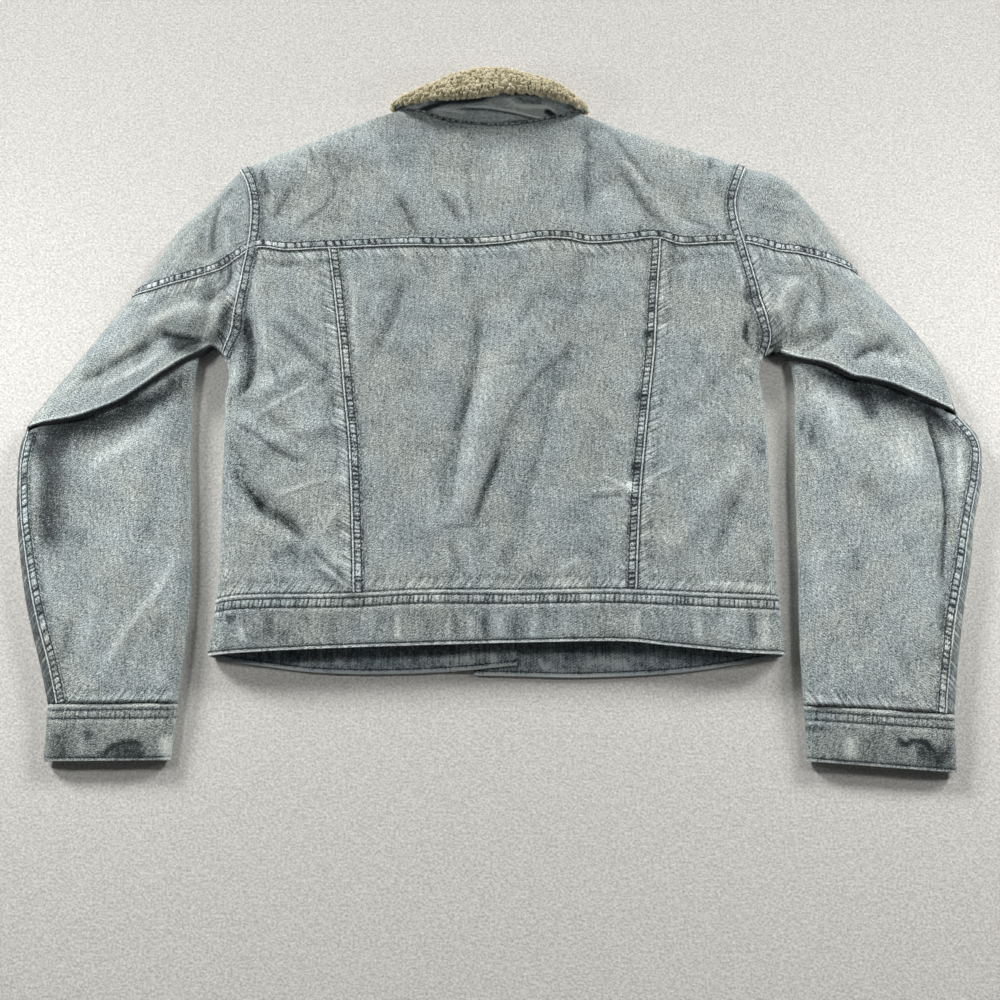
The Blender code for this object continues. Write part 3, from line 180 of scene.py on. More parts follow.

# Creases on those folds and the paleness along them, which is partly marks that the wash left and
# partly painted light and shade of the folds: line, height, paleness (below 0 is dark), and half
# width, or its half width to the line's left and the one to its right
backCreases = [
    ([(-241, 318), (-237, 300), (-232, 281), (-231, 262), (-237, 244),
         (-249, 228)], -4.5, -0.75, 2.5, 7),
    ([(-238, 372), (-233, 342), (-226, 310), (-220, 279), (-217, 260)], 1.6, 0.35, 4),
    ([(-249, 284), (-250, 263), (-252, 243)], 1, 0.4, 4),
    ([(-215, 265), (-209, 256), (-206, 246), (-205, 237)], -1.6, -0.6, 1.8, 3),
    ([(-220, 310), (-202, 294), (-187, 281), (-172, 266), (-159, 254)], -1.6, -0.35, 5),
    ([(-206, 323), (-186, 306), (-170, 286)], -1, -0.25, 5),
    ([(-165, 266), (-159, 254), (-168, 240)], -1.5, -0.4, 4),
    ([(-231, 207), (-204, 226), (-173, 245)], 0.8, 0.4, 2),
    ([(-247, 207), (-221, 191), (-201, 176), (-187, 170), (-170, 169)], -1.2, -0.5, 1.8, 4),
    ([(-152, 240), (-154, 213), (-162, 182)], -1.4, -0.35, 6, 7),
    ([(-169, 219), (-151, 239)], 0.5, 0.3, 1.8),
    ([(-251, 170), (-237, 149), (-219, 130), (-207, 120), (-188, 109), (-176, 96),
         (-167, 85)], -3.4, -0.8, 2.2, 7),
    ([(-178, 87), (-191, 79), (-207, 73)], -1.2, -0.45, 5),
    ([(-182, 83), (-183, 62)], -0.5, -0.3, 4),
    ([(-171, 89), (-155, 73), (-140, 59), (-129, 45)], -1.4, -0.5, 1.8),
    ([(-163, 70), (-145, 57), (-131, 47)], 1.2, 0.6, 2),
    ([(-206, 132), (-181, 142), (-148, 152)], 0.8, 0.4, 2),
    ([(-158, 96), (-151, 110), (-143, 127)], 0.7, 0.35, 2),
    ([(-146, 115), (-147, 92)], -0.4, -0.2, 5),
    ([(-145, 376), (-138, 342), (-135, 300), (-131, 258)], 0.3, 0.4, 2.5),
    ([(-106, 342), (-113, 326), (-120, 306)], 1, 0.3, 3),
    ([(-88, 361), (-91, 340), (-99, 310), (-110, 284), (-117, 260)], -2.2, -0.4, 4, 6),
    ([(-76, 385), (-70, 372), (-65, 357)], -1.4, -0.4, 2.5, 3),
    ([(-28, 381), (-27, 358), (-29, 340)], -0.8, -0.3, 4),
    ([(-23, 318), (-16, 302), (-20, 284)], -0.6, -0.25, 3),
    ([(-10, 331), (-18, 251), (-29, 198), (-37, 149), (-40, 107)], -2.2, -0.4, 1.8, 9),
    ([(6, 180), (-6, 151), (-16, 120), (-20, 104)], -3, -0.7, 7, 1.8),
    ([(-2, 300), (-7, 238), (-20, 178), (-29, 130), (-30, 109)], 1.6, 0.25, 9, 8),
    ([(-20, 243), (-28, 213), (-38, 188)], -1.6, -0.45, 1.8, 8),
    ([(-44, 178), (-45, 139), (-45, 110)], -0.8, -0.25, 2, 6),
    ([(-49, 103), (-22, 104), (0, 106)], -0.6, -0.35, 1.4),
    ([(-31, 93), (-22, 75), (-17, 54)], 1, 0.4, 2.2),
    ([(-41, 92), (-34, 73), (-29, 58)], -1.2, -0.4, 2.5, 3),
    ([(-12, 96), (-11, 78)], -0.5, -0.3, 4),
    ([(-106, 90), (-97, 101), (-90, 109)], 0.6, 0.25, 2),
    ([(86, 385), (85, 347), (82, 312)], -1.5, -0.28, 6, 9),
    ([(40, 342), (35, 321), (21, 302)], -1.2, -0.3, 6),
    ([(79, 287), (64, 271), (42, 250), (26, 228), (11, 195), (-1, 160),
         (-13, 130)], -1.4, -0.3, 14, 2.6),
    ([(79, 256), (59, 230), (50, 192), (39, 155), (30, 114), (24, 73)], -1.2, -0.25, 2.6, 12),
    ([(76, 289), (70, 266)], -1.5, -0.4, 5), ([(17, 95), (10, 62)], -1, -0.3, 4),
    ([(-2, 262), (25, 265), (50, 272)], -0.5, -0.25, 1.6),
    ([(100, 155), (114, 147), (125, 142)], 0.8, 0.7, 1.5),
    ([(87, 137), (105, 140), (123, 141)], 0.5, 0.35, 1.6),
    ([(90, 132), (105, 133), (121, 134)], -0.7, -0.5, 1.4),
    ([(141, 145), (154, 155), (170, 163)], 0.8, 0.5, 1.6, 2.4),
    ([(141, 143), (151, 146), (161, 150)], 0.4, 0.4, 1.3),
    ([(141, 135), (149, 135), (160, 133)], -0.8, -0.6, 1.5),
    ([(128, 148), (129, 142), (129, 137)], 0.3, 1.7, 4.5),
    ([(134, 167), (134, 162), (133, 157)], -0.3, -1.2, 5),
    ([(132, 134), (131, 130)], -0.4, -1.2, 4), ([(152, 300), (150, 289)], -0.3, -1, 4, 5),
    ([(142, 236), (139, 225)], -0.3, -0.9, 5, 6), ([(105, 93), (87, 73)], -1, -0.25, 10),
    ([(59, 60), (81, 77)], 0.6, 0.3, 4),
    ([(230, 137), (221, 115), (212, 92), (202, 70)], -2, -0.45, 5),
    ([(255, 198), (254, 170)], -0.5, -0.3, 5), ([(250, 87), (250, 67)], -0.8, -0.35, 5),
    ([(189, 52), (225, 49), (252, 45)], 0.8, 0.4, 3, 4),
    ([(236, 385), (243, 363), (245, 337)], 0.8, 0.6, 3),
    ([(248, 312), (245, 294), (252, 279)], -2.6, -0.9, 2.8),
    ([(232, 258), (244, 256), (252, 246)], -1, -0.4, 2.2, 2.6),
    ([(241, 271), (251, 266)], 0.8, 0.6, 3), ([(199, 289), (195, 260)], -0.8, -0.3, 2.5),
    ([(172, 372), (183, 346)], -0.7, -0.25, 8),
    ([(170, 383), (179, 372), (194, 376)], -0.6, -0.4, 3),
    ([(112, 358), (131, 325)], 0.6, 0.3, 2),
    ([(-229, 372), (-206, 368), (-186, 372)], -0.8, -0.5, 2.5, 3),
    ([(-176, 372), (-158, 372)], -0.8, -0.5, 2.5, 3),
    ([(-237, 476), (-231, 460), (-229, 442)], -1, -0.6, 3),
    ([(-204, 454), (-212, 435), (-220, 416)], -1.5, -0.45, 4),
    ([(-199, 489), (-189, 476), (-179, 463)], 0.7, 0.35, 2.5),
    ([(-188, 502), (-183, 482)], -0.6, -0.4, 3),
    ([(-170, 497), (-166, 476), (-158, 451)], -1.1, -0.4, 2, 4),
    ([(-157, 449), (-169, 431), (-186, 416), (-197, 402)], -1.2, -0.4, 2, 4),
    ([(-153, 451), (-145, 440), (-136, 431)], 0.7, 0.4, 2),
    ([(-162, 485), (-142, 467)], -0.6, -0.25, 8), ([(-100, 491), (-91, 466)], -0.5, -0.2, 8),
    ([(-163, 420), (-146, 416), (-129, 411)], -0.6, -0.25, 4),
    ([(-97, 445), (-88, 427), (-80, 411), (-74, 396)], -1.8, -0.5, 3, 5),
    ([(-56, 451), (-42, 431), (-31, 411)], -1.8, -0.5, 3, 5),
    ([(-40, 451), (-32, 436), (-25, 419)], 0.8, 0.3, 4),
    ([(-27, 485), (-24, 451), (-22, 416)], -0.8, -0.4, 1.8, 2.6),
    ([(6, 502), (11, 429)], 0.5, 0.18, 16),
    ([(-29, 517), (-21, 506), (-10, 497)], -0.6, -0.3, 3),
    ([(92, 529), (95, 497), (94, 451), (95, 412)], -2, -0.5, 5, 4),
    ([(121, 517), (136, 491), (151, 468), (165, 447)], -2, -0.55, 3, 4),
    ([(133, 483), (152, 454)], 0.6, 0.3, 2.5),
    ([(123, 480), (139, 454), (154, 429), (170, 409)], -1.8, -0.5, 3, 5),
    ([(107, 451), (141, 410)], 0.6, 0.2, 11), ([(221, 495), (221, 474)], -0.8, -0.5, 3),
    ([(228, 468), (226, 440)], -0.6, -0.35, 3),
    ([(186, 423), (206, 414), (221, 405)], -0.7, -0.4, 2, 2.4),
    ([(-326, 305), (-306, 299), (-284, 297)], 0.8, 0.8, 1.6),
    ([(-244, 21), (-232, 19)], -0.5, -0.9, 3), ([(-228, 13), (-226, -2)], 0.3, 0.7, 3),
    ([(-205, 25), (-201, 0)], -0.4, -0.7, 4), ([(-191, 11), (-190, -2)], 0, -0.35, 5),
    ([(-172, 24), (-167, 15)], -0.2, -0.4, 2.5), ([(-134, 24), (-133, 0)], 0, 0.22, 6),
    ([(-86, 25), (-86, 0)], 0.3, 0.65, 3), ([(-40, 24), (-41, 2)], 0.2, 0.45, 2.5),
    ([(-35, 25), (-34, 4)], -0.2, -0.45, 3), ([(-21, 25), (-20, 2)], 0, 0.3, 4),
    ([(-8, 25), (-6, 0)], -0.4, -0.7, 3), ([(5, 24), (8, 0)], 0.2, 0.45, 6),
    ([(20, 25), (19, 0)], -0.2, -0.35, 4), ([(36, 22), (36, 0)], 0.3, 0.65, 3.5),
    ([(70, 25), (70, 4)], 0, 0.25, 9), ([(131, 29), (130, 4)], 0.3, 0.65, 3),
    ([(148, 31), (151, 20)], -0.3, -0.4, 2.5), ([(187, 22), (186, -2)], 0, 0.4, 4),
    ([(213, 24), (211, -2)], 0, 0.35, 10, 8), ([(235, 27), (235, 0)], -0.2, -0.4, 4),
    ([(248, 22), (247, -7)], 0.2, 0.6, 7, 6),
    ([(-217, 28), (-201, 25), (-183, 26)], -0.4, -0.5, 1.6),
    ([(-403, 244), (-385, 254), (-362, 267), (-339, 283), (-328, 292)], -2.2, -0.6, 3, 5),
    ([(-384, 258), (-376, 253)], -0.8, -0.6, 3), ([(-346, 281), (-338, 285)], -0.8, -0.6, 3),
    ([(-378, 239), (-351, 253), (-333, 264), (-318, 278)], 1.2, 0.45, 3, 4),
    ([(-326, 301), (-306, 295), (-283, 293)], -3.6, -1, 1.8, 8),
    ([(-317, 289), (-295, 282), (-270, 275)], -3, -1.2, 7, 9),
    ([(-308, 274), (-297, 287), (-278, 292)], -1.5, -0.5, 2, 3),
    ([(-341, 302), (-317, 314), (-293, 324), (-284, 310)], 1.4, 0.45, 6),
    ([(-265, 355), (-274, 334), (-276, 317)], 1.6, 0.6, 4),
    ([(-255, 333), (-261, 310), (-268, 285)], -3, -1, 5),
    ([(-259, 368), (-262, 350), (-275, 337), (-289, 330)], -1.6, -0.5, 2, 4),
    ([(-275, 449), (-279, 415), (-279, 375)], -1.8, -0.6, 3),
    ([(-286, 419), (-285, 383)], 0.6, 0.3, 2), ([(-266, 414), (-262, 376)], 0.8, 0.35, 3),
    ([(-274, 442), (-262, 456)], -0.8, -0.5, 4),
    ([(-251, 372), (-249, 347), (-250, 326)], 0.5, 0.45, 2),
    ([(272, 461), (307, 443)], -0.5, -0.35, 9), ([(262, 440), (296, 416)], -0.4, -0.2, 12),
    ([(266, 364), (288, 358), (315, 361)], -0.8, -0.4, 2, 2.4),
    ([(318, 366), (323, 339), (319, 310)], -1.6, -0.45, 4),
    ([(301, 353), (283, 334), (275, 314)], 1.6, 0.55, 5),
    ([(308, 342), (296, 318), (289, 286)], -2, -0.5, 3, 4),
    ([(312, 329), (308, 297)], 0.8, 0.35, 4),
    ([(297, 277), (312, 284), (331, 297)], -1.8, -0.6, 1.8, 3),
    ([(326, 293), (345, 298), (362, 291)], 0.8, 0.35, 3),
    ([(345, 268), (363, 280), (383, 283)], -2.6, -0.8, 2.6, 3),
    ([(382, 271), (389, 278), (400, 281)], -1.2, -0.5, 2),
    ([(372, 264), (398, 264), (423, 252)], 0.8, 0.3, 5),
    ([(270, 288), (277, 285), (282, 279)], -1.6, -0.9, 2)]
foreCreases = [
    # The first two lines are painted shadows at the outer elbow and under the upper arm's
    # turned-down edge; the long line from (303, 266) below is the same painted shadow on the right
    # arm
    ([(-441, 199), (-422, 161), (-418, 112), (-412, 75)], -1.5, -1.2, 18, 8),
    ([(-440, 203), (-415, 207), (-378, 215), (-332, 237), (-293, 260)], -1.5, -1.6, 1.5, 20),
    ([(-432, 191), (-403, 183)], -0.5, -0.4, 12),
    ([(-298, 239), (-320, 211), (-346, 186), (-373, 169), (-388, 149)], 1.2, 0.4, 8),
    ([(-369, 47), (-367, 10), (-376, -31)], 0.8, 0.25, 4),
    ([(-291, 84), (-306, 47), (-323, 24), (-340, -4), (-356, -40)], 1.2, 0.4, 4.5),
    ([(-324, 151), (-321, 112), (-330, 82)], -1, -0.22, 10),
    ([(-305, 26), (-301, 1)], -0.8, -0.3, 6), ([(-386, 19), (-389, -19)], -1.4, -0.5, 4),
    ([(-327, -8), (-334, -35)], -0.6, -0.25, 6), ([(-292, -17), (-299, -44)], 0.6, 0.25, 7),
    ([(345, 249), (361, 233), (366, 211)], -2.4, -0.8, 6, 8),
    ([(381, 241), (389, 226)], -0.8, -0.4, 9),
    ([(303, 266), (340, 258), (383, 243), (419, 223), (443, 199)], -1.5, -1.4, 1.5, 17),
    ([(308, 246), (323, 221), (336, 189)], 1.2, 0.45, 12),
    ([(294, 212), (302, 199), (312, 184)], -1.8, -0.7, 2, 3),
    ([(386, 201), (395, 171), (396, 149)], 1, 0.4, 13),
    ([(348, 155), (359, 130)], -1, -0.33, 8), ([(368, 134), (367, 118)], -0.6, -0.25, 6),
    ([(337, 88), (334, 58)], -1, -0.3, 6), ([(344, 28), (340, -1)], -0.6, -0.2, 8),
    ([(300, 93), (298, 26)], 0.5, 0.2, 8),
    ([(415, 231), (419, 206), (425, 179), (427, 146), (425, 117), (418, 79),
         (412, 35)], -3.2, -0.8, 2, 4), ([(416, 233), (429, 213), (441, 191)], -1.5, -0.9, 6),
    ([(411, 229), (415, 206), (421, 179), (423, 146), (421, 117), (414, 79)], 0.8, 0.6, 1.6),
    ([(431, 195), (431, 166), (430, 134)], 0.8, 0.35, 2),
    ([(444, 191), (442, 161), (440, 140)], 0.2, 0.8, 2.5),
    ([(412, 35), (411, 1)], -0.8, -0.4, 3, 4), ([(391, -6), (403, -17)], -0.6, -0.4, 5),
    ([(365, -4), (371, -26), (380, -46)], -0.9, -0.3, 3.5, 4),
    ([(414, -8), (413, -37)], -0.3, -0.6, 3)]
# Paleness on the cuffs: the dark arches from (-352, -98) and (359, -84) are painted shade of folds
# that the cuffs' shape leaves out; the other marks are the wash's
cuffMarks = [
    ([(-385, -79), (-381, -105)], 0, -0.5, 7), ([(-366, -89), (-365, -101)], 0, 0.35, 5),
    ([(-364, -80), (-356, -85)], 0, -0.6, 3),
    ([(-352, -98), (-345, -99), (-338, -93), (-322, -89), (-309, -92)], 0, -1.1, 2.2, 2.8),
    ([(-340, -99), (-324, -96), (-306, -100)], 0, -0.7, 5, 6),
    ([(-294, -82), (-291, -106)], 0, 1, 4),
    ([(278, -77), (298, -77)], 0, -0.6, 2.5), ([(318, -84), (317, -105)], 0, 0.7, 6),
    ([(359, -84), (365, -91), (374, -88), (385, -90), (390, -97)], 0, -1.4, 1.8, 2.4),
    ([(374, -98), (388, -99), (402, -106)], 0, -0.9, 8),
    ([(405, -70), (403, -109)], 0, -0.4, 4),
    ([(335, -83), (341, -105)], 0, -0.25, 7)]
# Paleness on the collar: the line from (-89, 535) is a painted shadow under the pile's edge; the
# other lines are painted light and shade along its folds and its neck seam
collarMarks = [
    ([(-32, 546), (-4, 545), (21, 540), (47, 533), (68, 529)], 0, 1, 1),
    ([(-40, 543), (-4, 542), (21, 537), (47, 530)], 0, -0.9, 1.2),
    ([(11, 556), (24, 547), (42, 546), (58, 544), (69, 531)], 0, 0.8, 2),
    ([(52, 543), (60, 537), (67, 529)], 0, -2, 3.5, 3),
    ([(21, 558), (32, 552), (52, 551)], 0, -0.6, 3),
    ([(-89, 535), (-71, 544), (-50, 551), (-25, 553), (1, 558)], 0, -1.6, 3.2),
    ([(1, 558), (27, 561), (52, 558)], 0, -0.8, 2.2),
    ([(-73, 542), (-51, 532), (-7, 526), (32, 529), (63, 533)], 0, -0.9, 1.8),
    ([(-66, 544), (-45, 542), (-25, 536)], 0, 0.4, 2),
    ([(78, 542), (86, 532)], 0, 0.6, 2)]
innerMarks = [
    ([(-51, -16), (-32, -14), (-15, -20)], 0, 0.5, 4), ([(0, -7), (1, -22)], 0, 0.8, 3),
    ([(76, -20), (102, -18), (129, -23)], 0, 0.6, 4),
    ([(39, -14), (45, -20), (48, -26), (54, -16)], 0, 0.9, 1.6),
    ([(-145, -16), (-137, -20)], 0, 0.5, 4), ([(-81, -13), (-78, -23)], 0, 0.4, 2),
    ([(-177, -12), (-195, -20)], 0, -0.4, 9), ([(152, -16), (189, -18)], 0, -0.3, 9)]


def ease(share):
    share = np.clip(share, 0, 1)
    return share * share * (3 - 2 * share)


def roundShare(share):  # a quarter circle, upright at 0 and level from 1 on
    return np.sqrt(np.maximum(0.0, 1 - (1 - np.clip(share, 0, 1)) ** 2))


def hump(place, centre, width):  # 1 at the centre, fading out to both sides
    return np.exp(-((place - centre) / width) ** 2)


def smoothLine(points, steps=8):  # a dense curve through the points
    points = np.asarray(points, float)
    ends = np.vstack([2 * points[0] - points[1], points, 2 * points[-1] - points[-2]])
    dense = []
    for a, b, c, d in zip(ends[:-3], ends[1:-2], ends[2:-1], ends[3:]):
        gaps = [max(np.linalg.norm(q - p), 1e-6) ** 0.5 for p, q in ((a, b), (b, c), (c, d))]
        k = np.cumsum([0.0] + gaps)
        t = np.linspace(k[1], k[2], steps, endpoint=False)[:, None]
        ab = (a * (k[1] - t) + b * t) / k[1]
        bc = (b * (k[2] - t) + c * (t - k[1])) / (k[2] - k[1])
        cd = (c * (k[3] - t) + d * (t - k[2])) / (k[3] - k[2])
        abc = (ab * (k[2] - t) + bc * t) / k[2]
        bcd = (bc * (k[3] - t) + cd * (t - k[1])) / (k[3] - k[1])
        dense.append((abc * (k[2] - t) + bcd * (t - k[1])) / (k[2] - k[1]))
    return np.vstack(dense + [points[-1:]])


def unit(vectors):
    return vectors / np.linalg.norm(vectors, axis=-1, keepdims=True)


def besideLine(line, side):  # directions square to a line, to its left where side is 1
    run = np.gradient(line, axis=0)
    return unit(np.column_stack([-run[:, 1], run[:, 0]]) * side)


def arcLengths(line):
    return np.concatenate([[0.0], np.cumsum(np.linalg.norm(np.diff(line, axis=0), axis=1))])


def stepCount(length, step):
    return max(2, int(round(length / step)))


def along(line, distances):
    lengths = arcLengths(line)
    return np.column_stack([np.interp(distances, lengths, line[:, k])
                            for k in range(line.shape[1])])


def evenly(line, intervals):
    return along(line, np.linspace(0, arcLengths(line)[-1], intervals + 1))


def stations(length, fromStart, fromEnd, between):
    low, high = fromStart[-1], length - fromEnd[-1]
    middle = np.linspace(low, high, between + 1)[1:-1]
    return np.concatenate([fromStart, middle, length - np.array(fromEnd[::-1])])


def spaced(line, fromStart, fromEnd, between):
    return along(line, stations(arcLengths(line)[-1], fromStart, fromEnd, between))


def join(*stretches):
    return np.vstack([stretches[0]] + [s[1:] for s in stretches[1:]])


def patch(bottom, top, start, end):  # points filled in between four edges
    def share(edge):
        lengths = arcLengths(edge)
        return lengths / lengths[-1]
    u0, u1 = share(bottom)[None, :], share(top)[None, :]
    v0, v1 = share(start)[:, None], share(end)[:, None]
    u = (u0 + v0 * (u1 - u0)) / (1 - (u1 - u0) * (v1 - v0))
    v = (v0 + u * (v1 - v0))[..., None]
    u = u[..., None]
    return ((1 - v) * bottom[None] + v * top[None] + (1 - u) * start[:, None] + u * end[:, None]
            - (1 - u) * (1 - v) * bottom[0] - u * (1 - v) * bottom[-1]
            - (1 - u) * v * top[0] - u * v * top[-1])


def drawIn(grid, edges, openingFrom=(), openingTo=()):  # leave the gap of a seam at these edges
    moved = grid.copy()
    for edge in edges:
        view, target = [g if edge in ("bottom", "top") else g.transpose(1, 0, 2)
                        for g in (grid, moved)]
        if edge in ("top", "end"):
            view, target = view[::-1], target[::-1]
        rim = view[0]
        across = besideLine(rim, 1)
        across *= np.sign(np.sum(across * (view[1] - rim), axis=1))[:, None]
        fromStart = arcLengths(rim)
        gap = np.full(len(rim), lie["seamSlit"] / 2)
        if edge in openingFrom:
            gap += lie["pitGap"] * ease(1 - fromStart / lie["pitReach"])
        if edge in openingTo:
            gap += lie["pitGap"] * ease(1 - (fromStart[-1] - fromStart) / lie["pitReach"])
        share = ease(1 - np.linalg.norm(view - rim, axis=2) / lie["slitReach"])
        target += across * gap[:, None] * share[..., None]
    return moved


def nearest(points, line):  # distance to a line, side of it (left is 1) and place along it
    flat = points.reshape(-1, 2)
    start, run = line[:-1], np.diff(line, axis=0)
    square = np.maximum(np.sum(run * run, axis=1), 1e-9)
    lengths = arcLengths(line)
    gaps, sides, places = [], [], []
    for block in np.array_split(flat, max(1, len(flat) // 6000)):
        dx, dy = block[:, :1] - start[None, :, 0], block[:, 1:] - start[None, :, 1]
        share = np.clip((dx * run[:, 0] + dy * run[:, 1]) / square, 0, 1)
        far = (dx - share * run[:, 0]) ** 2 + (dy - share * run[:, 1]) ** 2
        k, n = np.argmin(far, axis=1), np.arange(len(block))
        gaps.append(np.sqrt(far[n, k]))
        sides.append(np.where(run[k, 0] * dy[n, k] - run[k, 1] * dx[n, k] >= 0, 1.0, -1.0))
        places.append(lengths[k] + share[n, k] * (lengths[k + 1] - lengths[k]))
    return [np.concatenate(a).reshape(points.shape[:-1]) for a in (gaps, sides, places)]


def depthInside(points, outlines):  # how far inside the nearest outline, below 0 just outside
    depths = []
    for line, innerSide in outlines:
        gap, side, _ = nearest(points, line)
        depths.append(np.where((side != innerSide) & (gap < 2.0), -gap, gap))
    return np.min(depths, axis=0)


lines = {name: {s: smoothLine(pts) for s, pts in value.items()} if isinstance(value, dict)
         else smoothLine(value) for name, value in bodyLines.items()}
arms = {name: {s: smoothLine(pts) for s, pts in value.items()}
        for name, value in sleeveLines.items() if name != "stripWidth"}
inward = {"outer": {left: 1, right: -1}, "inner": {left: -1, right: 1}}
backOutlines, floorOutlines, foreOutlines = [], [], {}
for s in (left, right):
    pit = arms["underarm"][s][:len(arms["underarm"][s]) // 2]
    outerLine = join(lines["shoulder"][s], arms["upper"][s], arms["elbow"][s])
    backOutlines += [(join(lines["side"][s], pit), inward["inner"][s]),
                     (outerLine, inward["outer"][s])]
    floorOutlines += [(join(lines["side"][s], arms["underarm"][s], arms["inner"][s]),
                       inward["inner"][s]),
                      (join(outerLine, arms["fore"][s]), inward["outer"][s])]
    foreOutlines[s] = [(arms["fore"][s], inward["outer"][s]),
                       (arms["inner"][s], inward["inner"][s])]
neckPoints = lines["neck"][[0, -1]]


def foldHeight(points, folds):
    total = np.zeros(points.shape[:-1])
    for start, end, height, width in folds:
        total += height * hump(nearest(points, np.array([start, end], float))[0], 0, width)
    return total


def creaseSum(points, creases, column=1):  # heights of the creases, or their paleness
    total = np.zeros(points.shape[:-1])
    for crease in creases:
        line, widthLeft, widthRight = crease[0], crease[3], crease[-1]
        dense = smoothLine(line, 4)
        reach = 3 * max(widthLeft, widthRight)
        low, high = dense.min(axis=0) - reach, dense.max(axis=0) + reach
        near = np.all((points > low) & (points < high), axis=-1)
        if near.any():
            gap, side, place = nearest(points[near], dense)
            share = place / arcLengths(dense)[-1]
            width = np.where(side > 0, widthLeft, widthRight)
            total[near] += (crease[column] * hump(gap, 0, width)
                            * ease(0.15 + share / 0.25) * ease(0.15 + (1 - share) / 0.25))
    return total


def lattice(points, size, seed):  # smooth uneven values from about -1 to 1
    table = np.random.default_rng(seed).uniform(-1, 1, (128, 128))
    place = points / size + 64.5
    cell = np.floor(place).astype(int)
    u, v = np.moveaxis(ease(place - cell), -1, 0)
    i, j = cell[..., 0] % 127, cell[..., 1] % 127
    return ((table[i, j] * (1 - u) + table[i + 1, j] * u) * (1 - v)
            + (table[i, j + 1] * (1 - u) + table[i + 1, j + 1] * u) * v)


def ripple(points):
    return sum(height * lattice(points, size, n) for n, (size, height) in enumerate(lie["ripples"]))


def rimHeight(points):
    gap = np.min([np.linalg.norm(points - p, axis=-1) for p in neckPoints], axis=0)
    return lie["rim"] + lie["neckRim"] * ease(1 - gap / lie["neckRimReach"])


def backHeight(points, beyond=0.0):  # outer face of the back, the yoke and the upper arms
    inside = depthInside(points, backOutlines)
    loft = np.interp(points[..., 1], *np.array(lie["loft"]).T)
    for s in (left, right):
        line = arms["crease"][s]
        gap = nearest(points, line[len(line) // 6:])[0]
        loft = loft + elbow["lift"] * hump(gap, 0, elbow["liftReach"])
    fine = creaseSum(points, backCreases) + ripple(points)
    loft = loft + foldHeight(points, backFolds) * ease(inside / lie["foldFade"]) \
        + fine * ease(inside / lie["creaseFade"])
    rim = rimHeight(points)
    return rim + (loft - rim) * roundShare(inside / lie["backRoll"]) \
        + beyond * np.minimum(inside, 0)


def foreHeight(points, beyond=0.0, side=left):  # outer face of a forearm
    depths = [depthInside(points, [outline]) for outline in foreOutlines[side]]
    inside = np.minimum(*depths)
    fine = creaseSum(points, foreCreases) + ripple(points)
    loft = lie["foreLoft"] + foldHeight(points, foreFolds) * ease(inside / lie["foreFoldFade"]) \
        + fine * ease(inside / lie["creaseFade"])
    bend = np.minimum(*[roundShare(d / roll) for d, roll in zip(depths, lie["foreRolls"])])
    return lie["rim"] + (loft - lie["rim"]) * bend + beyond * np.minimum(inside, 0)


def upperArmHeight(points, beyond=0.0, side=left):  # turned down along the elbow crease
    top = backHeight(points, beyond)
    gap, where, _ = nearest(points, arms["inner"][side])
    within = gap * np.where(where == inward["inner"][side], 1, -1)
    outer = depthInside(points, foreOutlines[side][:1])
    over = np.minimum(within, outer) + elbow["margin"]
    under = lie["rim"] + (lie["foreLoft"] - lie["rim"]) * roundShare(over / lie["foreRolls"][0]) \
        + elbow["clear"] * (over > 0)
    low = np.minimum(np.maximum(under, lie["rim"]), top)
    above = depthInside(points, [(arms["crease"][side], inward["inner"][side])])
    return low + (top - low) * roundShare(above / elbow["roll"]) + beyond * np.minimum(above, 0)


def floorHeight(points, beyond=0.0, placket=False):  # outer face of the cloth on the floor
    inside = depthInside(points, floorOutlines)
    toNeck = np.min([nearest(points, lines["frontNeck"][s])[0] for s in (left, right)], axis=0)
    full, none = lie["neckLiftReach"]
    base = lie["neckLift"] * ease((none - toNeck) / (none - full))
    if placket:
        start, end = lie["placketRamp"]
        base = base + lie["placketRaise"] * ease((points[..., 0] - start) / (end - start))
    rim = np.maximum(rimHeight(points), base)
    return base + (rim - base) * (1 - roundShare(inside / lie["floorRoll"])) \
        - beyond * np.minimum(inside, 0)


def surface(plan, height, up=1.0, step=0.25):  # points and normals of a height over a plan
    dx, dy = np.array([step, 0.0]), np.array([0.0, step])
    steep = lie["steep"]
    slopeX = (height(plan + dx, steep) - height(plan - dx, steep)) / (2 * step)
    slopeY = (height(plan + dy, steep) - height(plan - dy, steep)) / (2 * step)
    normals = unit(up * np.stack([-slopeX, -slopeY, np.ones_like(slopeX)], axis=-1))
    return np.concatenate([plan, height(plan)[..., None]], axis=-1), normals


def shifted(height, rise, **choices):  # the same height, raised
    return lambda points, beyond=0.0: height(points, beyond, **choices) + rise


def linear(code):  # an sRGB hex colour as the linear values that Blender takes
    parts = [int(code[k:k + 2], 16) / 255 for k in (1, 3, 5)]
    return (*[c / 12.92 if c <= 0.04045 else ((c + 0.055) / 1.055) ** 2.4 for c in parts], 1.0)


def addNode(tree, kind, settings=None, links=None):
    node = tree.nodes.new(kind)
    for name, value in (settings or {}).items():
        if name == "stops":
            while len(node.color_ramp.elements) < len(value):
                node.color_ramp.elements.new(0.5)
            for stop, (place, code) in zip(node.color_ramp.elements, value):
                stop.position, stop.color = place, linear(code)
        elif isinstance(name, int) or name in node.inputs:
            node.inputs[name].default_value = value
        else:
            setattr(node, name, value)
    for name, (source, output) in (links or {}).items():
        tree.links.new(source.outputs[output], node.inputs[name])
    return node


def addSum(tree, terms, start):  # start + weight times (output - centre), for each term
    total = None
    for source, weight, centre in terms:
        shift = -weight * centre + (start if total is None else 0)
        scaled = addNode(tree, "ShaderNodeMath",
                         {"operation": "MULTIPLY_ADD", 1: weight, 2: shift}, {0: source})
        total = scaled if total is None else addNode(
            tree, "ShaderNodeMath", {"operation": "ADD"}, {0: (total, 0), 1: (scaled, 0)})
    return total


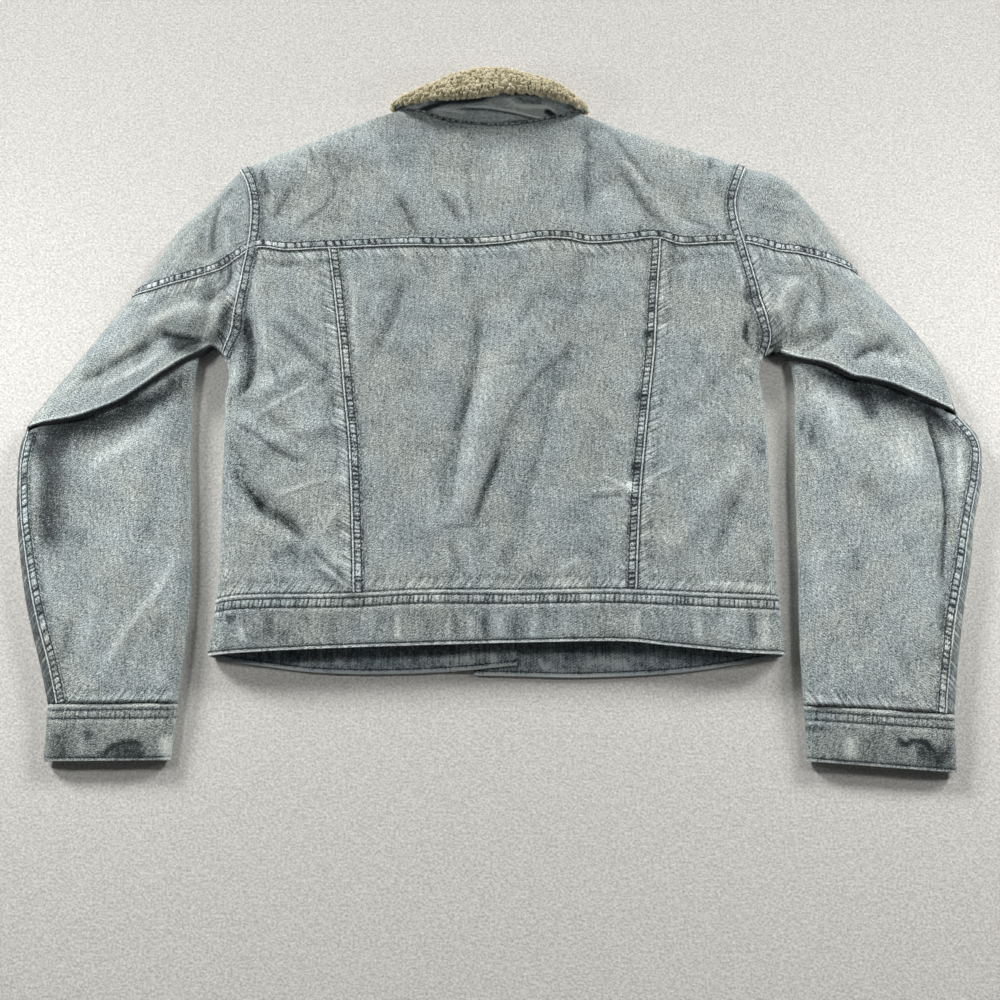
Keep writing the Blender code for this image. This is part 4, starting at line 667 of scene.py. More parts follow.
def startMaterial(name):
    material = bpy.data.materials.new(name)
    material.use_nodes = True
    return material, material.node_tree, material.node_tree.nodes["Principled BSDF"]


def finishShader(tree, shader, links, values):  # what its sockets take from nodes, and fixed
    for name, (source, output) in links.items():
        tree.links.new(source.outputs[output], shader.inputs[name])
    for name, value in values.items():
        shader.inputs[name].default_value = value


# Cotton denim, piece-dyed with indigo, stone-washed and worn: matt, with a soft bloom of loose
# fibres, pale where the wash rubbed it and dark where the cloth lay in a fold; the paleness also
# holds painted light on ridges and painted shade in folds, grooves and beside seams
washedDenim = {
    "name": "stone-washed cotton denim",
    "ramp": [(0.0, "#0f161b"), (0.22, "#485355"), (0.5, "#919b99"), (0.74, "#c2cac8"),
             (1.0, "#f0f3f1")],
    "tint": ("#7f97a4", "#a0a490"),  # patches lean to blue and to a yellowed grey
    "tintShare": 0.16,
    "mottle": [(34.0, 0.14), (11.0, 0.12), (3.4, 0.26)],     # size in mm and strength
    "speckle": 0.95, "thread": 0.55, "slub": 0.2, "twill": 0.05, "pull": 0.44,  # strengths
    "roughness": 0.88, "sheen": 0.12,
}
# The same cloth's unwashed side, where the dark weft and the indigo stayed
denimInside = {
    "name": "indigo cotton denim, inner side",
    "ramp": [(0.0, "#05080c"), (0.28, "#2a343b"), (0.52, "#616d73"), (0.8, "#97a3a5"),
             (1.0, "#d3dad6")],
    "tint": ("#455a6c", "#5e6664"),
    "tintShare": 0.2,
    "mottle": [(26.0, 0.3), (8.0, 0.34), (3.0, 0.26)],
    "speckle": 0.7, "thread": 0.5, "slub": 0.4, "twill": 0.06, "pull": 0.2,
    "roughness": 0.9, "sheen": 0.08,
}
# A darker copy of the same denim for the collar: painted shade under the collar and inside its
# folds
collarDenim = dict(washedDenim, name="cotton denim, darkened for the collar's shade",
                   ramp=[(0.0, "#0e1317"), (0.3, "#4a5458"), (0.55, "#828c8e"),
                         (0.8, "#b1bab9"), (1.0, "#e0e4e1")])
weave = {  # sizes in mm
    "twillPitch": 2.3,         # real twill lines are 0.6 mm apart; drawn coarser so that they show
    "twillAngle": 62.0,
    "speckleSize": 0.85,       # pale weft threads that the wash brought out
    "threadSize": (0.8, 3.2),  # bundles of them along the twill
    "slubSize": (1.3, 24.0),   # uneven thick yarns, across and along the warp
    "pullSize": (2.8, 26.0),   # short pulls away from a seam
    "pullReach": 17.0,
    "pullLean": 0.7,           # how far they lean for each step away from it
    "pullApart": 1000,         # keeps one seam's pulls unlike the next one's
    "halo": [(0.0, 0.0), (0.05, 0.14), (0.12, 0.46), (0.22, 0.62), (0.5, 0.52), (0.68, 0.3),
             (0.85, 0.44), (1.0, 0.5)],   # painted shade in the seam's recess, then light and dark of the wash out to the pulls' reach
    "patch": 70.0,             # of the bluer and yellower tints
    "steepBelow": 18.0,        # on the turned sides, height counts along the cloth too
    "relief": 0.0003,          # metres
}
away = 99.0                    # stands for a place with no seam near it


def denim(cloth):  # grain is the place on the cloth, pull the nearest seam's, wear the paleness with its painted light and shade
    material, tree, shader = startMaterial(cloth["name"])
    grain, wear, pull = [addNode(tree, "ShaderNodeAttribute", {"attribute_name": name})
                         for name in ("grain", "wear", "pull")]
    turned = addNode(tree, "ShaderNodeMapping",
                     {"Rotation": (0, 0, math.radians(weave["twillAngle"]))},
                     {"Vector": (grain, "Vector")})
    # each noise: where it lies, its scale on the cloth, and its own settings
    noises = [(grain, None, {"Scale": 1 / size, "Detail": 2.0 + n, "Roughness": 0.6})
              for n, (size, _) in enumerate(cloth["mottle"])] + [
        (grain, None, {"Scale": 1 / weave["speckleSize"], "Detail": 1.5, "Roughness": 0.55}),
        (grain, weave["slubSize"], {"Scale": 1.0, "Detail": 2.0}),
        (turned, weave["threadSize"], {"Scale": 1.0, "Detail": 1.0}),
        (pull, weave["pullSize"], {"Scale": 1.0, "Detail": 1.0}),
        (grain, None, {"Scale": 1 / weave["patch"], "Detail": 3.0})]
    drawn = []
    for source, size, settings in noises:
        if size:
            source = addNode(tree, "ShaderNodeMapping", {"Scale": (1 / size[0], 1 / size[1], 1)},
                             {"Vector": (source, "Vector")})
        drawn.append(addNode(tree, "ShaderNodeTexNoise", settings, {"Vector": (source, "Vector")}))
    *clouds, speckle, slub, threads, pulls, patches = [(node, "Fac") for node in drawn]
    twill = (addNode(tree, "ShaderNodeTexWave",
                     {"Scale": math.pi / (10 * weave["twillPitch"]), "Distortion": 1.6,
                      "Detail": 2.0, "Detail Scale": 1.5}, {"Vector": (turned, "Vector")}), "Fac")
    apart = addNode(tree, "ShaderNodeSeparateXYZ", None, {"Vector": (pull, "Vector")})
    fade, near = [addNode(tree, "ShaderNodeMapRange",
                          {"From Max": weave["pullReach"], "To Min": start, "To Max": 1 - start},
                          {"Value": (apart, "Y")}) for start in (1.0, 0.0)]
    centred = addNode(tree, "ShaderNodeMath", {"operation": "SUBTRACT", 1: 0.5}, {0: pulls})
    faded = (addNode(tree, "ShaderNodeMath", {"operation": "MULTIPLY"},
                     {0: (centred, 0), 1: (fade, "Result")}), 0)
    # painted shade right at a seam, then the wash's light and dark farther out
    halo = addNode(tree, "ShaderNodeValToRGB", {"stops": [
        (place, "#" + "%02x" % round(255 * tone) * 3) for place, tone in weave["halo"]]},
        {"Fac": (near, "Result")})
    total = addSum(
        tree, [((wear, "Fac"), 0.5, 0.0)]
        + [(cloud, strength * 2, 0.5) for cloud, (_, strength) in zip(clouds, cloth["mottle"])]
        + [(source, cloth[key] * 2, 0.5) for source, key in (
            (speckle, "speckle"), (slub, "slub"), (threads, "thread"), (twill, "twill"))]
        + [(faded, cloth["pull"] * 4, 0.0), ((halo, "Color"), 0.5, linear("#808080")[0])], 0.5)
    colour = addNode(tree, "ShaderNodeValToRGB", {"stops": cloth["ramp"]}, {"Fac": (total, 0)})
    blue, yellow = cloth["tint"]
    lean = addNode(tree, "ShaderNodeValToRGB", {"stops": [(0.38, blue), (0.62, yellow)]},
                   {"Fac": patches})
    tinted = addNode(tree, "ShaderNodeMix",
                     {"data_type": "RGBA", "blend_type": "COLOR", "Factor": cloth["tintShare"]},
                     {"A": (colour, "Color"), "B": (lean, "Color")})
    relief = addSum(tree, [(twill, 0.15, 0.5), (speckle, 0.9, 0.5), (threads, 0.7, 0.5),
                           (slub, 0.5, 0.5), (faded, 2.6, 0.0)], 0.5)
    bump = addNode(tree, "ShaderNodeBump", {"Strength": 0.8, "Distance": weave["relief"]},
                   {"Height": (relief, 0)})
    finishShader(tree, shader, {"Base Color": (tinted, "Result"), "Normal": (bump, "Normal")},
                 {"Roughness": cloth["roughness"], "Sheen Weight": cloth["sheen"],
                  "Sheen Roughness": 0.5})
    return material


# Spun polyester sewing thread, dark blue-grey: a thin dashed line with a faint shine
thread = {"name": "polyester sewing thread", "colour": "#1f282f", "roughness": 0.55,
          "pitch": 3.2, "length": 2.3, "radius": 0.48, "rise": 0.2, "dip": 0.45}   # mm


def sewingThread():
    material, tree, shader = startMaterial(thread["name"])
    finishShader(tree, shader, {}, {"Base Color": linear(thread["colour"]),
                                    "Roughness": thread["roughness"]})
    return material


# Sherpa of knitted polyester pile, curled in the finish: cream and matt, with painted shade between
# its curls
sherpa = {"name": "knitted sherpa pile", "ramp": [(0.0, "#7c7155"), (0.4, "#bcb18d"),
                                                  (0.7, "#d8ceae"), (1.0, "#eee7d2")],
          "curl": 1.6, "cloud": 14,   # mm
          "relief": 0.0006, "roughness": 1.0, "sheen": 0.4}


def sherpaPile():
    material, tree, shader = startMaterial(sherpa["name"])
    place = addNode(tree, "ShaderNodeTexCoord")
    curls = addNode(tree, "ShaderNodeTexNoise",
                    {"Scale": 1000 / sherpa["curl"], "Detail": 3.0, "Distortion": 1.2},
                    {"Vector": (place, "Object")})
    clouds = addNode(tree, "ShaderNodeTexNoise",
                     {"Scale": 1000 / sherpa["cloud"], "Detail": 2.0},
                     {"Vector": (place, "Object")})
    wear = addNode(tree, "ShaderNodeAttribute", {"attribute_name": "wear"})
    # raised curls paler and the hollows between them darker: painted light and shade
    total = addSum(tree, [((wear, "Fac"), 0.5, 0.0), ((curls, "Fac"), 0.7, 0.5),
                          ((clouds, "Fac"), 0.4, 0.5)], 0.55)
    colour = addNode(tree, "ShaderNodeValToRGB", {"stops": sherpa["ramp"]}, {"Fac": (total, 0)})
    bump = addNode(tree, "ShaderNodeBump", {"Strength": 1.0, "Distance": sherpa["relief"]},
                   {"Height": (curls, "Fac")})
    finishShader(tree, shader, {"Base Color": (colour, "Color"), "Normal": (bump, "Normal")},
                 {"Roughness": sherpa["roughness"], "Sheen Weight": sherpa["sheen"]})
    return material


finish = {"denim": denim(washedDenim), "inside": denim(denimInside),
          "collar": denim(collarDenim), "thread": sewingThread(), "pile": sherpaPile()}
print("materials made")


def addPiece(name, points, faces, materials, marks=None, attributes=None):
    # one object from points in mm; marks give each face's material
    points = (np.asarray(points, float) - lie["origin"]) * mm
    faces = np.asarray(faces)
    a, b, c = points[faces[:, 0]], points[faces[:, 1]], points[faces[:, 2]]
    volume = np.sum(a * np.cross(b, c))
    if faces.shape[1] == 4:
        volume += np.sum(a * np.cross(c, points[faces[:, 3]]))
    if volume < 0:
        faces = faces[:, ::-1]
    mesh = bpy.data.meshes.new(name)
    mesh.from_pydata(points.tolist(), [], faces.tolist())
    for material in materials:
        mesh.materials.append(finish[material])
    if marks is not None:
        mesh.polygons.foreach_set("material_index", np.asarray(marks, np.int32))
    for key, values in (attributes or {}).items():
        values = np.asarray(values, np.float32)
        kind = "FLOAT_VECTOR" if values.ndim == 2 else "FLOAT"
        layer = mesh.attributes.new(key, kind, "POINT")
        layer.data.foreach_set("vector" if values.ndim == 2 else "value", values.ravel())
    mesh.shade_smooth()
    mesh.update()
    piece = bpy.data.objects.new(name, mesh)
    bpy.context.scene.collection.objects.link(piece)
    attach(piece, "root")
    return piece


def sheetFaces(rows, columns):  # outer face, inner face and the rim between them
    total = rows * columns
    index = np.arange(total).reshape(rows, columns)
    outer = np.stack([index[:-1, :-1], index[:-1, 1:], index[1:, 1:], index[1:, :-1]],
                     axis=-1).reshape(-1, 4)
    rim = np.concatenate([index[0, :], index[1:, -1], index[-1, -2::-1], index[-2:0:-1, 0]])
    after = np.roll(rim, -1)
    edge = np.stack([after, rim, rim + total, after + total], axis=-1)
    faces = np.concatenate([outer, outer[:, ::-1] + total, edge])
    marks = np.concatenate([np.zeros(len(outer)), np.ones(len(outer)), np.zeros(len(edge))])
    return faces, marks


def ringFaces(index):  # all round a tube, from each row of point numbers to the next
    after = np.roll(index, -1, axis=-1)
    return np.stack([index[..., :-1, :], after[..., :-1, :], after[..., 1:, :], index[..., 1:, :]],
                    -1).reshape(-1, 4)


def tubeFaces(rows, columns):  # the same with both its ends closed by faces across them
    index = np.arange(rows * columns).reshape(rows, columns)
    faces = ringFaces(index).tolist()
    for row in (0, rows - 1):
        for k in range((columns - 2) // 2):
            quad = index[row, [k, k + 1, columns - 2 - k, columns - 1 - k]].tolist()
            faces.append(quad[::-1] if row == 0 else quad)
    return faces


def gridGrain(points):  # cloth coordinates in mm from distances over the grid
    across, down = [np.cumsum(np.linalg.norm(np.diff(points, axis=axis, prepend=first), axis=-1),
                              axis=axis) for axis, first in ((1, points[:, :1]), (0, points[:1]))]
    across -= across[:, across.shape[1] // 2][:, None]
    return np.stack([across, down, np.zeros_like(down)], axis=-1)


def seamPlace(plan, seams):  # for each point, run along the nearest seam and distance to it
    found = [nearest(plan, line) for line in seams]
    gaps = np.array([gap for gap, _, _ in found])
    runs = np.array([place - weave["pullLean"] * gap + weave["pullApart"] * n
                     for n, (gap, _, place) in enumerate(found)])
    first = np.argmin(gaps, axis=0)[None]
    run, gap = [np.take_along_axis(values, first, 0)[0] for values in (runs, gaps)]
    return np.stack([run, gap, np.zeros_like(run)], axis=-1)


def clothSheet(name, outer, inner, plan, seams, wear=0.0, grain=None, materials=("denim", "inside"),
               slot="denim"):
    faces, marks = sheetFaces(*outer.shape[:2])
    if grain is None:
        grain = np.concatenate([plan, np.minimum(outer[..., 2:] - weave["steepBelow"], 0)], axis=-1)
    pull = seamPlace(plan, seams) if seams else np.full(plan.shape[:-1] + (3,), away)
    wear = np.broadcast_to(wear, plan.shape[:-1])
    twice = {key: np.concatenate([value.reshape((-1,) + value.shape[2:])] * 2)
             for key, value in (("grain", grain), ("pull", pull), ("wear", wear))}
    points = np.concatenate([outer.reshape(-1, 3), inner.reshape(-1, 3)])
    return addPiece(name, points, faces, materials, marks, twice)


def cutAcross(line, low, high):
    start, end = [[x, np.interp(x, line[:, 0], line[:, 1])] for x in (low, high)]
    inside = line[(line[:, 0] > low + 0.5) & (line[:, 0] < high - 0.5)]
    return np.vstack([start, inside, end])


def panelSeam(side, intervals):
    line = lines["panel"][side].copy()
    line[0, 1] = np.interp(line[0, 0], lines["band"][:, 0], lines["band"][:, 1])
    line[-1, 1] = np.interp(line[-1, 0], lines["yoke"][:, 0], lines["yoke"][:, 1])
    return evenly(line, intervals)


ends = {s: (lines["panel"][s][0, 0], lines["panel"][s][-1, 0]) for s in (left, right)}
halfGap = lie["seamGap"] / 2


def foldWearAndShade(plan, folds, creases):  # ridges paler and troughs darker: the wash's rubbing, with painted light on ridges and painted shade in troughs
    return creaseSum(plan, creases, 2) * 0.75 + np.clip(0.03 * foldHeight(plan, folds), -0.2, 0.2)


def backPanel(name, plan, seams, raised=0.0, thick=None, wear=0.0, **choices):
    points, normals = surface(plan, shifted(backHeight, halfGap))
    lifted = points + normals * np.broadcast_to(raised, plan.shape[:-1])[..., None]
    inner = points - normals * (thick or lie["cloth"])
    return clothSheet(name, lifted, inner, plan, seams,
                      wear + foldWearAndShade(plan, backFolds, backCreases), **choices)


made = {"on": {}}   # the cloth for each node and, under "on", what is sewn on it


def sewOn(node, piece):
    made["on"].setdefault(node, []).append(piece)


def backCentre():
    bottom = cutAcross(lines["band"], ends[left][0], ends[right][0])
    top = cutAcross(lines["yoke"], ends[left][1], ends[right][1])
    columns, rows = [stepCount(spans[key], lie["step"]) for key in ("backWidth", "backLength")]
    plan = patch(evenly(bottom, columns), evenly(top, columns), panelSeam(left, rows),
                 panelSeam(right, rows))
    plan = drawIn(plan, ("bottom", "top", "start", "end"))
    made["back_centre"] = backPanel("backCentrePanel", plan, [
        lines["panel"][left], lines["panel"][right], lines["yoke"], lines["band"]])


def backSide(side):
    upright = lines["side"][side][lines["side"][side][:, 1] > 44]
    edge = 0 if side == left else -1
    low, high = ((lines["band"][0, 0], ends[left][0]), (lines["yoke"][0, 0], ends[left][1])) \
        if side == left else ((ends[right][0], lines["band"][-1, 0]),
                              (ends[right][1], lines["yoke"][-1, 0]))
    bottom, top = cutAcross(lines["band"], *low), cutAcross(lines["yoke"], *high)
    rim, none, columns = lie["rimSteps"], [0.0], stepCount(spans["sideWidth"], lie["step"])
    first, last = (rim, none) if side == left else (none, rim)
    bottom, top = spaced(bottom, first, last, columns), spaced(top, first, last, columns)
    upright = np.vstack([bottom[edge], upright])
    lowRows = stepCount(spans["sideLength"], lie["step"])
    outer = join(evenly(upright, lowRows),
                 evenly(lines["armholeLow"][side], stepCount(spans["armholeLow"], lie["step"])))
    seam = panelSeam(side, len(outer) - 1)
    if side == left:
        plan = drawIn(patch(bottom, top, outer, seam), ("bottom", "top", "end"))
        plan[lowRows:] = drawIn(plan[lowRows:], ("start",), openingFrom=("start",))
    else:
        plan = drawIn(patch(bottom, top, seam, outer), ("bottom", "top", "start"))
        plan[lowRows:] = drawIn(plan[lowRows:], ("end",), openingFrom=("end",))
    made[f"back_side_{side}"] = backPanel(f"backSidePanel.{side}", plan, [
        lines["panel"][side], lines["yoke"], lines["band"], lines["armholeLow"][side]])


def backYoke():
    rows = stepCount(spans["armholeHigh"], lie["step"])
    sides = [spaced(lines["armholeHigh"][s], [0.0], lie["rimSteps"], rows) for s in (left, right)]
    third = stepCount(spans["yokeThird"], lie["step"])
    top = join(evenly(lines["shoulder"][left][::-1], third), evenly(lines["neck"], third),
               evenly(lines["shoulder"][right], third))
    plan = patch(evenly(lines["yoke"], 3 * third), top, *sides)
    plan = drawIn(plan, ("bottom", "start", "end"), openingTo=("start", "end"))
    made["back_yoke"] = backPanel("backYoke", plan, [
        lines["yoke"], lines["armholeHigh"][left], lines["armholeHigh"][right]])


# 0 in the dips across a felled band and 1 on its swells; the dips are low to high mm apart and
# up to broad mm wide
def pucker(run, seed, low, high, broad):
    rng = np.random.default_rng(seed)
    total = float(np.max(run)) + 10
    dips = np.cumsum(rng.uniform(low, high, int(total / low) + 4)) - 6
    depth, width = rng.uniform(0.35, 1.15, len(dips)), rng.uniform(0.65, broad, len(dips))
    k = np.clip(np.searchsorted(dips, run), 1, len(dips) - 1)
    value = np.ones_like(run)
    for n in (k - 1, k):
        value -= depth[n] * hump(run, dips[n], width[n])
    return np.clip(value, 0, 1)


def betweenRows(place, rows):  # 1 between two rows of stitches, falling to 0 at both
    share = np.clip((place - rows[0]) / (rows[1] - rows[0]), 0, 1)
    return np.clip(1.8 * np.sin(np.pi * share), 0, 1)


# Waistband of doubled denim, lapped over the panels with two rows of stitching
waistband = {
    "rows": (4.6, 12.4),     # stitch rows below its top edge
    "hemRow": 3.4,           # and above its hem
    "frontHemRow": 4.2,
    "pucker": 0.5,
    "raise": 0.8,
    "depth": 52.0,
    "length": 522.0, "step": 1.25,
    "frontLength": 275.0, "frontStep": 1.6,
    "fine": [0, 0.5, 1.2, 2.2, 3.4, 4.6, 5.8, 7.2, 8.6, 10.0, 11.2, 12.4, 13.6, 15.2, 17.2],
    "hemFine": [0, 0.5, 1.2, 2.2, 3.4, 4.8, 7.0],
    "frontFine": [0, 0.012, 0.03, 0.055, 0.085, 0.12],   # shares of the depth
    "fray": 2.2,             # size of a frayed bit at the hem
}


def bandRelief(fromTop, run, rows, seed, quiet=1.0):  # ridge, groove, puckers, groove, soft ridge
    between = quiet * betweenRows(fromTop, rows)
    swell = pucker(run + 0.1 * fromTop, seed, 3.0, 5.0, 1.1)
    after = hump(fromTop, rows[1] + 2.6, 1.8) * pucker(run, seed + 1, 5, 11, 1.9)
    groove = sum(hump(fromTop, row, 0.8) for row in rows)
    ridge = hump(fromTop, 1.8, 1.3)
    relief = 0.3 * ridge + waistband["pucker"] * between * swell - 0.45 * groove + 0.3 * after
    # The ridge is pale, as rubbed and as a painted highlight; painted shade lies in the stitch
    # grooves, at the top edge and in the puckers' dips, while the swells are rubbed pale
    wear = (0.7 * ridge - 0.8 * groove + between * (1.4 * swell - 0.95) + 0.4 * after
            - 0.7 * hump(fromTop, 0, 0.7))
    return relief, wear


def waistbandBack():
    columns = stepCount(waistband["length"], waistband["step"])
    top = evenly(lines["band"], columns)
    bottom = evenly(lines["hem"], columns)
    width = np.linalg.norm(top - bottom, axis=1)
    fine, hemFine = [np.array(waistband[key]) / waistband["depth"] for key in ("fine", "hemFine")]
    share = np.concatenate([fine, np.linspace(fine[-1], 1 - hemFine[-1], 12)[1:-1],
                            1 - hemFine[::-1]])
    plan = top[None] + (bottom - top)[None] * share[:, None, None]
    plan = drawIn(plan[::-1], ("top",))
    fromTop = share[::-1, None] * width[None]
    run = np.broadcast_to(arcLengths(top)[None], fromTop.shape)
    relief, wear = bandRelief(fromTop, run, waistband["rows"], 11)
    fromHem = width[None] - fromTop
    hemGroove = hump(fromHem, waistband["hemRow"], 0.8)
    fray = lattice(np.stack([run, fromHem], -1), waistband["fray"], 5)
    relief = relief - 0.3 * hemGroove + 0.12 * fray * np.exp(-fromHem / 2)
    # painted shade in the hem's stitch groove, and the frayed hem pale
    wear = wear - 0.7 * hemGroove + (0.75 + 0.4 * fray) * hump(fromHem, 0, 1.6) \
        - 0.1 + 0.12 * lattice(np.stack([run / 6, fromHem / 30], -1), 1.0, 9)
    made["waistband_back"] = backPanel("waistbandBack", plan, [], waistband["raise"] + relief,
                                       lie["bandCloth"] - 0.8, wear)


def floorSheet(name, plan, cloth, placket, wear=0.0, seams=(), **choices):
    height = shifted(floorHeight, -halfGap, placket=placket)
    points, normals = surface(plan, height, up=-1.0)
    points[..., 2] = np.maximum(points[..., 2], 0.0)
    return clothSheet(name, points, points - normals * cloth, plan, list(seams), wear,
                      slot="denim_inside", **choices)


def armholeFloor(side, between):
    return spaced(join(lines["armholeLow"][side], lines["armholeHigh"][side]),
                  lie["rimSteps"], lie["rimSteps"], between)


def frontStretch(line, between):
    return spaced(line[::-1], [0.0], lie["rimSteps"], between)


def frontPanel(side):
    columns, rows, holeRows = [stepCount(spans[key], lie["floorStep"])
                               for key in ("frontWidth", "frontLength", "armhole")]
    bottom = frontStretch(lines["frontSeam"][side], columns)
    upright = lines["side"][side][lines["side"][side][:, 1] >= 38]
    outer = join(evenly(upright, rows), armholeFloor(side, holeRows))
    outer[0] = bottom[-1]
    top = evenly(lines["shoulder"][side], len(bottom) - 1)
    centre = np.vstack([bottom[0], lines["frontNeck"][side]])
    length = arcLengths(centre)[-1]
    turn = length - spans["openingLength"]
    inner = along(centre, np.append(np.linspace(0, turn, rows, endpoint=False),
                                    np.linspace(turn, length, len(outer) - rows)))
    plan = drawIn(patch(bottom, top, inner, outer), ("bottom",))
    plan[rows:] = drawIn(plan[rows:], ("end",), openingFrom=("end",), openingTo=("end",))
    made[f"front_{side}"] = floorSheet(f"frontPanel.{side}", plan, lie["cloth"], side == left)


def waistbandFront(side):
    columns = stepCount(waistband["frontLength"], waistband["frontStep"])
    hemRow = waistband["frontHemRow"]
    top, bottom = [frontStretch(lines[key][side], columns) for key in ("frontSeam", "frontHem")]
    share = np.concatenate([waistband["frontFine"], np.linspace(0.16, 1, 18)])
    plan = drawIn(bottom[None] + (top - bottom)[None] * share[:, None, None], ("top",))
    run = np.broadcast_to(arcLengths(bottom)[None], plan.shape[:2])
    fromHem = share[:, None] * np.linalg.norm(top - bottom, axis=1)[None]
    fray = lattice(np.stack([run, fromHem], -1), waistband["fray"], 15)
    # the frayed hem pale, and painted shade in its stitch groove
    wear = (1.3 + 0.9 * fray) * hump(fromHem, 0, 2.6) - 0.5 * hump(fromHem, hemRow, 0.9) \
        + creaseSum(plan, innerMarks, 2) + 0.5
    node = f"waistband_front_{side}"
    made[node] = floorSheet(f"waistbandFront.{side}", plan, lie["bandCloth"], side == left, wear)
    above = shifted(floorHeight, lie["bandCloth"] - lie["seamGap"], placket=side == left)
    sewOn(node, stitchRow(f"stitchesFrontHem.{side}", [
        rowOnCloth(bottom, -inward["outer"][side], hemRow, above, 0.15)]))


def sleeveOuterEdge(side):
    return join(spaced(arms["upper"][side], [0.0, 1.0, 4.0, 12.0], [0.0], elbow["upperRows"] - 3),
                spaced(arms["elbow"][side], [0.0], elbow["stepsDown"],
                       elbow["elbowRows"] + 1 - len(elbow["stepsDown"])),
                spaced(arms["fore"][side], [0.0, 5.0], [0.0], elbow["foreRows"] - 1))


def sleeveInnerEdge(side):
    line = arms["inner"][side]
    rest = arcLengths(line)[-1] - elbow["drop"]
    below = np.concatenate([
        np.linspace(0, elbow["drop"], creaseRow - elbow["pitRows"], endpoint=False),
        elbow["drop"] + rest * np.linspace(0, 1, elbow["foreRows"] + 1)])
    return join(evenly(arms["underarm"][side], elbow["pitRows"]), along(line, below))


def stripEdge(side):  # seam between front and back sleeve, coarse row by row
    outline, corner = sleeveOuterEdge(side), elbow["upperRows"]
    width = np.interp(np.arange(len(outline)) - corner, *np.array(sleeveLines["stripWidth"]).T)
    edge = outline + besideLine(outline, inward["outer"][side]) * width[:, None]
    edge[-1] = outline[-1] + unit(arms["inner"][side][-1] - outline[-1]) * width[-1]
    upper = evenly(arms["seam"][side], corner)
    share = ease(np.arange(corner + 1) / corner)[:, None]
    edge[:corner + 1] = upper + (edge[corner] - upper[-1]) * share
    return edge


def twoPart(edge, times):  # finer rows, kept apart at the crease
    return np.vstack([smoothLine(part, times)
                      for part in (edge[:creaseRow + 1], edge[creaseRow + 1:])])


def bowOf(line):  # how far an edge bends off its chord, and each point's share of its length
    share = arcLengths(line) / arcLengths(line)[-1]
    return line - (line[0] + (line[-1] - line[0]) * share[:, None]), share


def sleeveFront(side):
    times = elbow["refine"]
    outline, seam, inner = [twoPart(edge(side), times)
                            for edge in (sleeveOuterEdge, stripEdge, sleeveInnerEdge)]
    rows, foreStart = len(outline), creaseRow * times + 1
    fade = np.maximum(0.0, 1 - np.arange(rows) / (elbow["bowRows"] * times)) ** 2
    between = stepCount(spans["armhole"], lie["floorStep"])
    bow, _ = bowOf(armholeFloor(side, between))
    floor = np.array([spaced(np.vstack([a, b]), lie["rimSteps"], lie["rimSteps"], between)
                      + bow * f for a, b, f in zip(inner, outline, fade)])
    floor = drawIn(floor, ("bottom", "top"), openingFrom=("bottom",), openingTo=("bottom",))
    floorPoints, floorNormals = surface(floor, shifted(floorHeight, -halfGap), up=-1.0)
    floorPoints[..., 2] = np.maximum(floorPoints[..., 2], 0.0)

    bow, first = bowOf(spaced(lines["armholeHigh"][side], [0.0], lie["rimSteps"],
                              stepCount(spans["capWidth"], lie["step"]))[::-1])
    width = np.linalg.norm(seam - outline, axis=1)
    share = first + (np.linspace(0, 1, len(first)) - first) \
        * ease(1 - width / elbow["wideStrip"])[:, None]
    strip = outline[:, None] + (seam - outline)[:, None] * share[..., None] \
        + bow * fade[:, None, None]
    strip = drawIn(strip, ("bottom", "top", "end"), openingFrom=("bottom",))
    points, normals = surface(strip, shifted(backHeight, halfGap))
    lowPoints, lowNormals = surface(strip, shifted(foreHeight, halfGap, side=side))
    fore = (np.arange(rows) >= foreStart)[:, None, None]
    points, normals = np.where(fore, lowPoints, points), np.where(fore, lowNormals, normals)
    outer = np.concatenate([floorPoints[:, :-1], points], axis=1)
    facing = np.concatenate([floorNormals[:, :-1], normals], axis=1)
    plan = np.concatenate([floor[:, :-1], strip], axis=1)
    darkerStrip = np.zeros(plan.shape[:-1])
    darkerStrip[foreStart:, floor.shape[1] - 1:] = elbow["stripTone"][side]
    made[f"sleeve_front_{side}"] = clothSheet(
        f"sleeveFront.{side}", outer, outer - facing * lie["cloth"], plan, [seam],
        foldWearAndShade(plan, backFolds, backCreases) + darkerStrip, gridGrain(outer))


def sleeveBackUpper(side):
    times = elbow["refine"]
    seam = smoothLine(stripEdge(side)[:creaseRow + 1], times)
    corner = elbow["upperRows"] * times
    low = smoothLine(spaced(lines["armholeLow"][side], elbow["stepsDown"], [0.0],
                            elbow["elbowRows"] + 1 - len(elbow["stepsDown"])), times)
    crease = evenly(arms["crease"][side], corner)
    crease[-1] = seam[-1]
    plan = patch(crease, seam[:corner + 1], low, seam[corner:][::-1])
    plan = drawIn(plan, ("top", "start", "end"), openingFrom=("start", "end"))
    points, normals = surface(plan, shifted(upperArmHeight, halfGap, side=side))
    gap = nearest(plan, arms["crease"][side])[0]  # pale along the fold's edge, where rubbed and as a painted highlight; a painted shadow under it
    foldEdgeLightAndShadow = 0.5 * hump(gap, 2.9, 1.3) - 1.5 * hump(gap, 0, 1.4)
    made[f"sleeve_back_upper_{side}"] = clothSheet(
        f"sleeveBackUpper.{side}", points, points - normals * lie["cloth"], plan,
        [arms["seam"][side], lines["armholeLow"][side]],
        foldWearAndShade(plan, backFolds, backCreases) + foldEdgeLightAndShadow, gridGrain(points))


